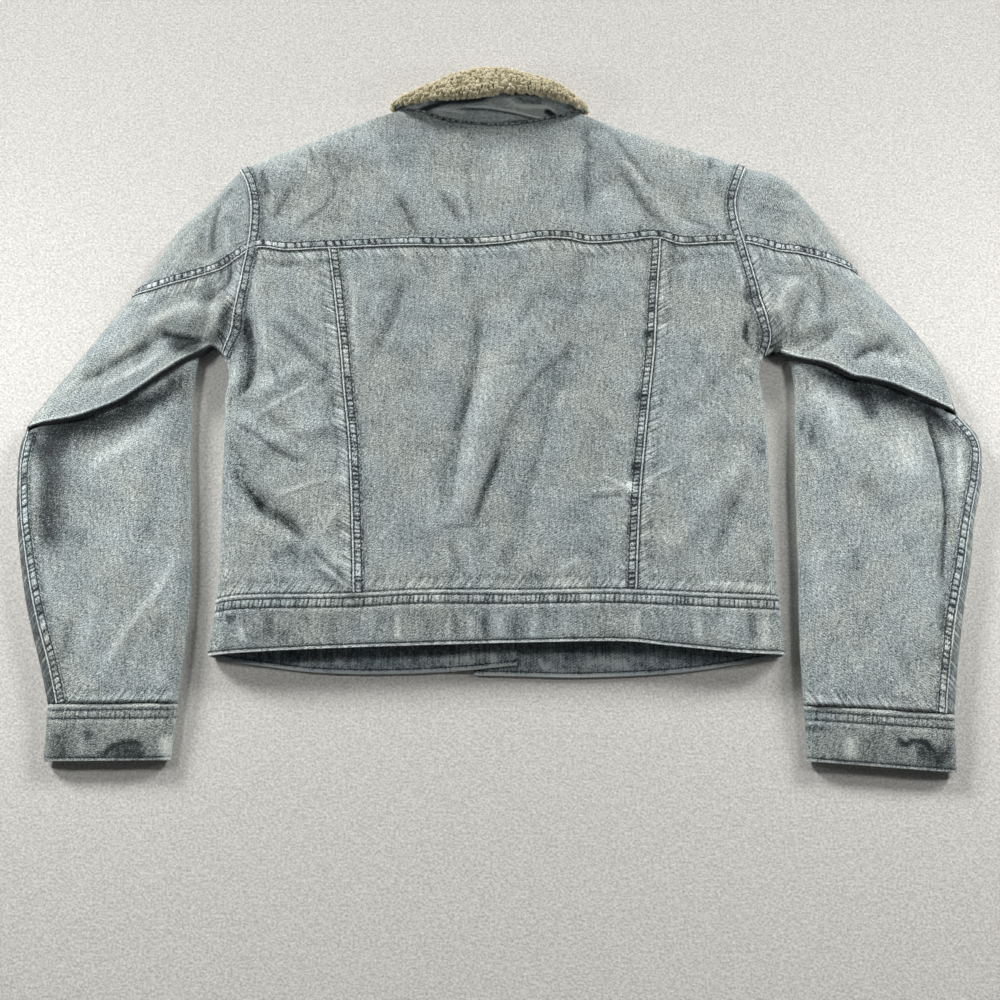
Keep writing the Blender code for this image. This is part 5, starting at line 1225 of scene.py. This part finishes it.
def sleeveBackFore(side):
    edge, inner, crease = stripEdge(side), sleeveInnerEdge(side), arms["crease"][side]
    seam = smoothLine(edge[creaseRow + 1:], elbow["refine"])
    run = unit(crease[-1] - crease[len(crease) // 3])
    north = np.array([-run[1], run[0]]) * inward["inner"][side]
    hidden = edge[creaseRow] + north * elbow["hiddenTuck"] - run * elbow["hiddenInset"]
    inset = seam[0] - run * elbow["hiddenInset"]
    start = join(seam[::-1], evenly(np.vstack([seam[0], inset]), 4),
                 evenly(np.vstack([inset, hidden]), 3))
    down = inner[:creaseRow:-1]
    rest = np.vstack([down[-1], inner[elbow["pitRows"] + elbow["tuckStep"] * np.arange(3)][::-1]])
    end = join(evenly(down, len(seam) - 1), evenly(rest, len(start) - len(seam)))
    columns = stepCount(spans["foreWidth"], lie["step"])
    bottom, top = [spaced(np.vstack([start[k], end[k]]), [0.0], lie["rimSteps"], columns)
                   for k in (0, -1)]
    plan = drawIn(patch(bottom, top, start, end), ("bottom", "start"))
    points, normals = surface(plan, shifted(foreHeight, halfGap, side=side))
    made[f"sleeve_back_fore_{side}"] = clothSheet(
        f"sleeveBackFore.{side}", points, points - normals * lie["cloth"], plan,
        [seam, np.vstack([start[0], end[0]])],
        foldWearAndShade(plan, foreFolds, foreCreases), gridGrain(points))


# Cuff: a flattened ring of doubled denim
cuffCut = {
    "corners": {left: [(-402, -56), (-285, -55), (-401, -106), (-287, -105)],
                right: [(281, -57), (416, -65), (280, -106), (413, -116)]},
    "depth": 50.5,
    "loft": 15.5, "fall": 4.5,   # height at its seam, and how much lower its hem lies
    "roll": 22.0,
    "rows": (5.6, 13.0), "hemRow": 3.6,
    "quiet": 0.5,                # share of the waistband's unevenness
    "grainAt": 40.0,             # a stretch of the weave's noise that no other piece shows
    "underSteps": 24, "overSteps": 88,   # points across, below and above
    "fine": [0.006, 0.02, 0.045, 0.07, 0.1, 0.13, 0.16, 0.19, 0.22, 0.25, 0.28, 0.32],
    "hemFine": [0.93, 0.95, 0.97, 0.985, 1.0],   # rows at the seam and the hem, as shares
}


def cuff(side):
    corners, depth = np.array(cuffCut["corners"][side], float), cuffCut["depth"]
    share = np.concatenate([cuffCut["fine"], np.linspace(0.36, 0.9, 12), cuffCut["hemFine"]])
    outer, inner, places, rim = [], [], [], lie["rim"]
    for t in share:
        start, end = corners[:2] + (corners[2:] - corners[:2]) * t
        width = np.linalg.norm(end - start)
        under, over = [stations(width, lie["rimSteps"], lie["rimSteps"], cuffCut[steps])
                       for steps in ("underSteps", "overSteps")]
        over = over[1:-1][::-1]
        floorZ = rim * (1 - roundShare(np.minimum(under, width - under) / lie["floorRoll"]))
        wave = 0.5 * lattice(np.stack([over / 3, np.full(len(over), t * 50 / 3)], -1), 7.0, 31)
        topZ = rim + (cuffCut["loft"] - cuffCut["fall"] * t * t + wave - rim) \
            * roundShare(np.minimum(over, width - over) / cuffCut["roll"])
        section = np.column_stack([np.concatenate([under, over]), np.concatenate([floorZ, topZ])])
        run = np.roll(section, -1, axis=0) - np.roll(section, 1, axis=0)
        facing = unit(np.column_stack([-run[:, 1], run[:, 0]]))
        around = arcLengths(section)
        fromTop = np.full(len(section), t * depth)
        relief, wear = bandRelief(fromTop, around, cuffCut["rows"], 21, cuffCut["quiet"])
        hem = hump(depth - fromTop, cuffCut["hemRow"], 0.9)
        fray = lattice(np.stack([around, fromTop], -1), waistband["fray"], 25)
        # painted shade in the hem's stitch groove, and the frayed hem pale
        wear = wear - 0.6 * hem + (0.6 + 0.5 * fray) * hump(fromTop, depth, 1.6)
        for target, points in ((outer, section - facing * (relief * 0.8 - 0.25 * hem)[:, None]),
                               (inner, section + facing * lie["bandCloth"])):
            flat = start + (end - start) * (points[:, :1] / width)
            target.append(np.column_stack([flat, points[:, 1]]))
        wear = wear + creaseSum(flat, cuffMarks, 2) * (section[:, 1] > rim)
        places.append(np.column_stack([around, fromTop, wear]))
    outer, inner, places = np.array(outer), np.array(inner), np.array(places)
    outer[..., 2] = np.maximum(outer[..., 2], 0.0)
    upper = outer[:, len(under) + 4:-4]
    upright = np.broadcast_to([0.0, 0.0, 1.0], upper.shape[1:])
    sewOn(f"cuff_{side}", stitchRow(f"stitchesCuff.{side}", [
        (np.array([[np.interp(d / depth, share, line[:, k]) for k in range(3)]
                   for line in upper.transpose(1, 0, 2)]) + (0, 0, 0.15), upright)
        for d in (*cuffCut["rows"], depth - cuffCut["hemRow"])]))
    total = places.shape[0] * places.shape[1]
    index = np.arange(total).reshape(places.shape[:2])
    after, skin = np.roll(index, -1, axis=1), ringFaces(index)
    mouths = [np.stack([after[0], index[0], index[0] + total, after[0] + total], -1),
              np.stack([index[-1], after[-1], after[-1] + total, index[-1] + total], -1)]
    faces = np.concatenate([skin, skin[:, ::-1] + total] + mouths)
    marks = np.zeros(len(faces))
    marks[len(skin):2 * len(skin)] = 1
    flat = places.reshape(-1, 3)
    grain = np.column_stack([flat[:, :2], np.full(total, cuffCut["grainAt"])])
    made[f"cuff_{side}"] = addPiece(
        f"cuff.{side}", np.concatenate([outer.reshape(-1, 3), inner.reshape(-1, 3)]), faces,
        ("denim", "inside"), marks,
        {"grain": np.tile(grain, (2, 1)), "wear": np.tile(flat[:, 2] - 0.13, 2),
         "pull": np.full((2 * total, 3), away)})


# Collar: from one front end round the back to the other, half turned up.  Columns are the neck
# edge, the roll and the free edge of its denim, each x y z, and how thick the pile is
collar = {
    "stations": [
        (-1, 476, 8.9, 2, 502, 6.8, 0, 482, 4.7, 2.2),
        (-47, 497, 8.9, -36, 520, 6.8, -45, 504, 4.7, 2.2),
        (-76, 524, 9.5, -65, 540, 7.3, -74, 532, 5.0, 2.4),
        (-90, 543, 12.0, -84, 549, 5.5, -90, 544, 5.5, 2.6),
        (-95, 550, 15.0, -93, 556, 8.5, -102, 552, 13.5, 3.0),
        (-90, 549, 19.0, -90, 556, 16.5, -98, 550, 22.0, 3.4),
        (-83, 547, 23.0, -84, 554, 25.0, -91, 547, 30.0, 4.0),
        (-57, 536, 25.8, -57, 562, 31.0, -60, 549, 37.0, 6.0),
        (-29, 530, 26.2, -26, 573, 33.0, -26, 550, 39.0, 7.5),
        (2, 528, 26.2, 4, 575, 33.0, 6, 555, 39.5, 7.5),
        (32, 530, 26.2, 38, 567, 33.0, 36, 556, 38.5, 7.0),
        (56, 536, 25.8, 60, 561, 31.0, 62, 550, 37.0, 6.0),
        (75, 543, 23.0, 77, 552, 25.0, 84, 544, 30.0, 4.0),
        (82, 547, 19.0, 82, 554, 16.5, 90, 547, 22.0, 3.4),
        (86, 548, 15.0, 84, 554, 8.5, 93, 549, 13.5, 3.0),
        (81, 541, 12.0, 75, 547, 5.5, 81, 542, 5.5, 2.6),
        (68, 522, 9.5, 57, 538, 7.3, 65, 530, 5.0, 2.4),
        (43, 495, 8.9, 33, 517, 6.8, 41, 501, 4.7, 2.2),
        (6, 475, 8.9, 8, 501, 6.8, 10, 481, 4.7, 2.2)],
    "steps": 12,             # fine rows for each of those
    "cloth": 1.6,
    "tuck": 2.6,             # its neck edge lies under the yoke
    "frontClear": 2.0,       # and keeps this far off the fronts' neck
    "bend": 1.7,             # a roll wider than twice this is drawn out longer
    "across": (26, 13, 8),   # points up to the roll, round it and down to the free edge
    "pileClear": 0.9,
    "pileCover": 0.66,       # the pile starts at this share of the way across
    "overhang": 0.7,         # it reaches past the free edge by this share of its thickness
    "tuftSpace": 3.0,
    "tuft": (1.5, 2.6),      # radius of a curl, in mm
    "tuftSeed": 4,
}


def keepOff(points, line, innerSide, distance):
    across = besideLine(line, -innerSide)
    k = np.argmin(np.linalg.norm(points[:, None, :2] - line, axis=2), axis=1)
    clear = np.sum((points[:, :2] - line[k]) * across[k], axis=1)
    moved = points.copy()
    moved[:, :2] += across[k] * np.maximum(0.0, distance - clear)[:, None]
    return moved


def foldSection(neck, roll, edge):  # from the neck up, over the roll and down to the free edge
    rising, bending, falling = collar["across"]
    out = unit(roll - (neck + edge) / 2)
    turn = (edge - neck) / 2
    turn -= np.dot(turn, out) * out
    half = np.linalg.norm(turn)
    reach = min(half * np.clip(half / collar["bend"], 1, 3.5),
                0.9 * np.dot(roll - neck, out), 0.9 * np.dot(roll - edge, out))
    angles = np.linspace(-np.pi / 2, np.pi / 2, bending)[:, None]
    bend = roll + out * reach * (np.cos(angles) - 1) + turn * np.sin(angles)
    return join(np.linspace(neck, bend[0], rising), bend, np.linspace(bend[-1], edge, falling))


def collarGrid():
    table = np.array(collar["stations"])
    neck, roll, edge = [smoothLine(table[:, k:k + 3], collar["steps"]) for k in (0, 3, 6)]
    a, b = np.argmin(neck[:, 0]), np.argmax(neck[:, 0])
    neck[:a + 1] = keepOff(neck[:a + 1], lines["frontNeck"][left], 1, collar["frontClear"])
    neck[b:] = keepOff(neck[b:], lines["frontNeck"][right], -1, collar["frontClear"])
    neck[a:b + 1] -= (0, collar["tuck"], 0)
    pile = np.interp(np.arange(len(roll)) / collar["steps"], np.arange(len(table)), table[:, 9])
    return np.array([foldSection(n, r, e) for n, r, e in zip(neck, roll, edge)]), pile


def collarPieces():
    grid, pile = collarGrid()
    normals = unit(np.cross(np.gradient(grid, axis=1), np.gradient(grid, axis=0)))
    half = collar["cloth"] / 2
    # painted shadow under the pile and painted light and shade of the collar's folds, from
    # collarMarks
    wear = creaseSum(grid[..., :2], collarMarks, 2) * 1.3 + 0.55
    made["collar_denim"] = clothSheet(
        "collarDenim", grid - normals * half, grid + normals * half, grid[..., :2], [], wear,
        gridGrain(grid), materials=("collar", "inside"))

    first = int(round(collar["pileCover"] * (grid.shape[1] - 1)))
    sections, skins = [], []
    clear = half + collar["pileClear"]
    for line, out, thick in zip(grid[:, first:], normals[:, first:], pile):
        share = np.linspace(0, 1, len(line))
        swell = thick * (0.35 + 0.65 * roundShare(share / 0.35))
        far = line + out * (clear + swell)[:, None]
        end = unit(line[-1] - line[-2])
        over = collar["overhang"] * thick
        tip = [line[-1] + end * over * beyond + out[-1] * (clear + deep * thick)
               for beyond, deep in ((0.55, 0), (1, 0.3), (0.75, 0.75))]
        skins.append(np.vstack([tip, far[::-1]]))
        sections.append(np.vstack([line + out * clear, skins[-1]]))
    sections = np.array(sections)
    sections[..., 2] = np.maximum(sections[..., 2], 0.0)
    rows, points = sections.shape[:2]
    # the pile's body under the curls is drawn dark: painted shade between the curls
    made["collar_sherpa"] = addPiece(
        "collarSherpa", sections.reshape(-1, 3), tubeFaces(rows, points), ("pile",), None,
        {"wear": np.full(rows * points, -0.7)})
    sewOn("collar_sherpa", tufts(np.array(skins)))


def ball():  # an icosphere of 42 points
    shape = bmesh.new()
    bmesh.ops.create_icosphere(shape, subdivisions=2, radius=1.0)
    points = np.array([v.co[:] for v in shape.verts])
    faces = np.array([[v.index for v in f.verts] for f in shape.faces])
    shape.free()
    return points, faces


def tufts(skins):  # curls of pile over the outer skin of the sherpa
    rng = np.random.default_rng(collar["tuftSeed"])
    du = np.linalg.norm(np.diff(skins, axis=0), axis=-1)[:, :-1]
    dv = np.linalg.norm(np.diff(skins, axis=1), axis=-1)[:-1]
    area = (du * dv).ravel()
    number = int(area.sum() / collar["tuftSpace"] ** 2)
    cells = rng.choice(len(area), number, p=area / area.sum())
    i, j = np.unravel_index(cells, du.shape)
    u, v = rng.uniform(0, 1, (2, number, 1))
    centres = (skins[i, j] * (1 - u) + skins[i + 1, j] * u) * (1 - v) \
        + (skins[i, j + 1] * (1 - u) + skins[i + 1, j + 1] * u) * v
    shape, faces = ball()
    radius = rng.uniform(*collar["tuft"], number)
    everyPoint, everyFace, tone = [], [], []
    for n in range(number):
        lean = rng.normal(0, 1, 3)
        bumps = np.array([noise.noise(tuple(p * 1.7 + lean * 9)) for p in shape])
        scale = rng.uniform(0.75, 1.15, 3)
        everyPoint.append(centres[n] + shape * radius[n] * scale * (1 + 0.5 * bumps)[:, None])
        everyFace.append(faces + n * len(shape))
        # each curl paler where it bulges out and darker in its dents: painted light and shade, with
        # a random tone
        tone.append(0.5 * bumps + rng.uniform(-0.25, 0.25))
    points = np.vstack(everyPoint)
    points[:, 2] = np.maximum(points[:, 2], 0.1)
    print("curls of pile:", number)
    return addPiece("sherpaCurls", points, np.vstack(everyFace), ("pile",), None,
                    {"wear": np.concatenate(tone)})


# Felled seams: a band of doubled cloth between two rows of stitching
felled = {
    "step": 0.85,
    # across the band: distance from the seam line and height over the cloth under it
    "section": [(-0.3, -0.5), (-0.25, 0.55), (0.15, 1.0), (0.8, 1.2), (1.5, 1.1), (2.2, 0.8),
                (3.1, 1.0), (4.2, 1.1), (5.3, 1.1), (6.4, 1.1), (7.3, 1.0), (8.2, 0.75),
                (9.2, 0.8), (10.4, 0.4), (11.6, -0.4)],
    "rows": (2.2, 8.2),
    "stitchRise": 0.85,
    "swell": 0.5,
    "quiet": 0.55,           # share of the puckers' contrast round the armholes
    "puckers": {"Yoke": (4.2, 10.0, 2.7), "Panel": (3.0, 5.6, 1.5)},
    "otherPuckers": (3.2, 7.5, 1.9),
    "block": 17.0,           # stretches of paler and darker band
    "lift": {"Yoke": 0.25, "Armhole": 0.45},
    "neckWidth": 3.6,        # the neck's band is narrow
    "panelPoints": 120, "bandPoints": 400,   # of the lines that two of the seams follow
}


def narrowed(room):  # a band that has this little room is drawn in to it
    return np.clip(room / felled["section"][-1][0], 0.2, 1)


def seamBand(name, line, side, height, seed, reach=None, lift=0.0):
    length = arcLengths(line)[-1]
    run = np.linspace(0, length, stepCount(length, felled["step"]) + 1)
    base = along(line, run)
    across = besideLine(base, side)
    for _ in range(3):
        across[1:-1] = across[:-2] + 2 * across[1:-1] + across[2:]
        across = unit(across)
    gaps, rises = np.array(felled["section"]).T
    deep = felled["quiet"] if "Armhole" in name else 1.0
    scale = np.ones(len(run)) if reach is None else narrowed(np.interp(run / length, *reach))
    between = betweenRows(gaps, felled["rows"])
    runs = run[:, None] + 0.22 * gaps[None]
    place = np.stack([runs, np.broadcast_to(gaps, runs.shape), np.full(runs.shape, seed)], -1)
    swell = pucker(runs, seed, *next((value for key, value in felled["puckers"].items()
                                      if key in name), felled["otherPuckers"]))
    block = 0.35 * lattice(place[..., :2] * (1, 0), felled["block"], seed + 9)
    plan = base[:, None] + across[:, None] * (gaps[None] * scale[:, None])[..., None]
    points, normals = surface(plan, shifted(height, halfGap))
    uneven = 0.14 * lattice(place[..., :2], 3.0, seed)
    rise = rises[None] + felled["swell"] * between * (swell - 0.55) + lift + uneven * (rises > 0.5)
    points = points + normals * rise[..., None]
    ridge = hump(gaps, 0.7, 0.6)
    groove = sum(hump(gaps, row, 0.6) for row in felled["rows"])
    tail = np.clip((gaps - felled["rows"][1] - 0.8) / 1.5, 0, 1)
    # The ridge is pale, as rubbed and as a painted highlight; painted shade lies in the stitch
    # grooves, in the puckers' dips and where the band drops to the panel, with a painted shadow
    # line beside the seam; the swells are rubbed pale and stretches of band differ in tone
    wear = 0.9 * ridge - 0.9 * groove + deep * between * (1.7 * swell - 1.3 + block) - 0.35 * tail \
        - 0.9 * (gaps < -0.1) - 0.05 + uneven \
        + creaseSum(plan, foreCreases if "fore" in name else backCreases, 2) * 0.8
    return addPiece(name, points.reshape(-1, 3), tubeFaces(*plan.shape[:2]), ("denim",),
                    None, {"wear": wear.ravel(), "grain": place.reshape(-1, 3),
                           "pull": np.full((wear.size, 3), away)})


def stitchRow(name, rows):  # stitches laid over rows of dense points and their normals
    allPoints, allFaces, start = [], [], 0
    ring = np.array([(1, 0), (0, 1), (-1, 0), (0, -1)]) * thread["radius"]
    offsets = np.array([-0.5, -0.28, 0.28, 0.5]) * thread["length"]
    heights = np.array([-thread["dip"], thread["rise"], thread["rise"], -thread["dip"]])
    for points, normals in rows:
        lengths = arcLengths(points)
        number = int(lengths[-1] / thread["pitch"])
        place = ((np.arange(number) + 0.5) * thread["pitch"])[:, None] + offsets[None]
        centre, normal = [np.stack([np.interp(place, lengths, values[:, k]) for k in range(3)], -1)
                          for values in (points, normals)]
        normal = unit(normal)
        centre = centre + normal * heights[None, :, None]
        run = unit(centre[:, -1:] - centre[:, :1])
        side = unit(np.cross(np.broadcast_to(run, normal.shape), normal))
        tube = centre[:, :, None] + side[:, :, None] * ring[:, :1] \
            + normal[:, :, None] * ring[:, 1:]
        index = np.arange(tube.size // 3).reshape(tube.shape[:3]) + start
        allPoints.append(tube.reshape(-1, 3))
        allFaces.append(np.concatenate([ringFaces(index), index[:, 0, ::-1], index[:, -1]]))
        start += index.size
    return addPiece(name, np.vstack(allPoints), np.vstack(allFaces), ("thread",))


def rowOnCloth(line, side, gap, height, rise, reach=None):
    length = arcLengths(line)[-1]
    run = np.linspace(0, length, stepCount(length, 1.0) + 1)
    base = along(line, run)
    shift = gap if reach is None else gap * np.interp(
        run / length, reach[0], narrowed(reach[1]))[:, None]
    points, normals = surface(base + besideLine(base, side) * shift, shifted(height, halfGap))
    return points + normals * rise, normals


def seams():
    # node, name, line, side that the band lies on, height, seed and room for the band
    plans = [("back_yoke", "seamYoke", lines["yoke"], 1, backHeight, 101, None),
             ("back_yoke", "seamNeck", lines["neck"], -1, backHeight, 131,
              (np.array([0.0, 1.0]), np.full(2, felled["neckWidth"])))]
    for s, turn, extra in ((left, 1, 1), (right, -1, 0)):
        hole = join(lines["armholeLow"][s], lines["armholeHigh"][s])
        edge, outline = stripEdge(s), sleeveOuterEdge(s)
        upper, fore = slice(0, elbow["upperRows"] + 1), slice(creaseRow + 1, None)
        line = smoothLine(edge[upper])
        room = np.linalg.norm(smoothLine(outline[upper]) - line, axis=1) - 0.8
        plans += [
            ("back_centre", f"seamPanel.{s}", panelSeam(s, felled["panelPoints"]), -turn,
             backHeight, 103 + extra, None),
            (f"back_side_{s}", f"seamArmhole.{s}", hole, -turn, backHeight, 107 + extra, None),
            (f"sleeve_front_{s}", f"seamSleeve.upper.{s}", line, -turn, backHeight, 111 + extra,
             (arcLengths(line) / arcLengths(line)[-1], room)),
            (f"sleeve_front_{s}", f"seamSleeve.fore.{s}", smoothLine(edge[fore]), turn,
             shifted(foreHeight, 0.0, side=s), 113 + extra, None)]
    for node, name, line, side, height, seed, reach in plans:
        lift = next((value for key, value in felled["lift"].items() if key in name), 0.0)
        sewOn(node, seamBand(name, line, side, height, seed, reach, lift))
        sewOn(node, stitchRow(name.replace("seam", "stitches"), [
            rowOnCloth(line, side, gap, height, felled["stitchRise"] + lift, reach)
            for gap in felled["rows"]]))
    sewOn("waistband_back", stitchRow("stitchesWaistband", [
        rowOnCloth(evenly(lines[key], felled["bandPoints"]), side, gap, backHeight,
                   waistband["raise"] - sink)
        for key, side, gap, sink in (("band", -1, waistband["rows"][0], 0.25),
                                     ("band", -1, waistband["rows"][1], 0.25),
                                     ("hem", 1, waistband["hemRow"], 0.15))]))


backCentre()
backYoke()
waistbandBack()
for s in (left, right):
    backSide(s)
    frontPanel(s)
    waistbandFront(s)
print("body panels made")
for s in (left, right):
    sleeveFront(s)
    sleeveBackUpper(s)
    sleeveBackFore(s)
    cuff(s)
print("sleeves made")
collarPieces()
print("collar made")
seams()
print("seams made")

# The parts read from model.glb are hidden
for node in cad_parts:
    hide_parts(node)

# Pale wool felt, pressed: matt and faintly mottled by its fibres, which are drawn 2 mm wide,
# because real ones are too fine to show
floor = {"name": "pale felt", "colours": ("#b9b7b1", "#f1efea"), "fibre": 2.2,   # mm
         "size": 8.0, "drop": 0.4,   # half its width in metres, and mm under the jacket
         "relief": 0.0008, "roughness": 0.95}


def stage():
    size = floor["size"]
    z = -floor["drop"] * mm
    mesh = bpy.data.meshes.new("felt floor")
    mesh.from_pydata([(-size, -size, z), (size, -size, z), (size, size, z), (-size, size, z)], [],
                     [(0, 1, 2, 3)])
    material, tree, shader = startMaterial(floor["name"])
    place = addNode(tree, "ShaderNodeTexCoord")
    fibres = addNode(tree, "ShaderNodeTexNoise",
                     {"Scale": 1000 / floor["fibre"], "Detail": 4.0, "Roughness": 0.65},
                     {"Vector": (place, "Object")})
    dark, light = floor["colours"]
    colour = addNode(tree, "ShaderNodeValToRGB", {"stops": [(0.3, dark), (0.7, light)]},
                     {"Fac": (fibres, "Fac")})
    bump = addNode(tree, "ShaderNodeBump", {"Strength": 0.5, "Distance": floor["relief"]},
                   {"Height": (fibres, "Fac")})
    finishShader(tree, shader, {"Base Color": (colour, "Color"), "Normal": (bump, "Normal")},
                 {"Roughness": floor["roughness"]})
    mesh.materials.append(material)
    sheetOfFelt = bpy.data.objects.new("feltFloor", mesh)
    bpy.context.scene.collection.objects.link(sheetOfFelt)


light = {
    "sky": "#e6e9ec", "skyStrength": 0.07,
    "lamps": [  # place, aim, size, power
        ((-4.0, 4.0, 2.1), (0, 0, 0), 1.2, 400.0),
        ((4.0, 3.6, 2.1), (0, 0, 0), 1.2, 270.0),
        ((-0.66, 0.0, 0.46), (-0.3, 0, 0), 0.12, 1.5),
        ((0.66, 0.0, 0.46), (0.3, 0, 0), 0.12, 1.4)],
}
view = {"lens": 36.0, "sensor": 36.0, "place": (-0.0002, -0.3291, 0.9271), "tilt": 14.0}


def lightAndCamera():
    world = bpy.data.worlds.new("soft daylight")
    world.use_nodes = True
    background = world.node_tree.nodes["Background"]
    background.inputs["Color"].default_value = linear(light["sky"])
    background.inputs["Strength"].default_value = light["skyStrength"]
    bpy.context.scene.world = world
    for n, (place, aim, size, power) in enumerate(light["lamps"]):
        lamp = bpy.data.lights.new(f"soft lamp {n}", "AREA")
        lamp.size, lamp.energy = size, power
        thing = bpy.data.objects.new(f"softLamp.{n}", lamp)
        thing.location = place
        thing.rotation_euler = (Vector(aim) - Vector(place)).to_track_quat("-Z", "Y").to_euler()
        bpy.context.scene.collection.objects.link(thing)
    bpy.context.scene.view_settings.view_transform = "Standard"
    camera = bpy.data.cameras.new("camera")
    camera.lens, camera.sensor_width = view["lens"], view["sensor"]
    thing = bpy.data.objects.new("camera", camera)
    thing.location = view["place"]
    thing.rotation_euler = (math.radians(view["tilt"]), 0, 0)
    bpy.context.scene.collection.objects.link(thing)
    bpy.context.scene.camera = thing


stage()
lightAndCamera()
print("stage and camera set")
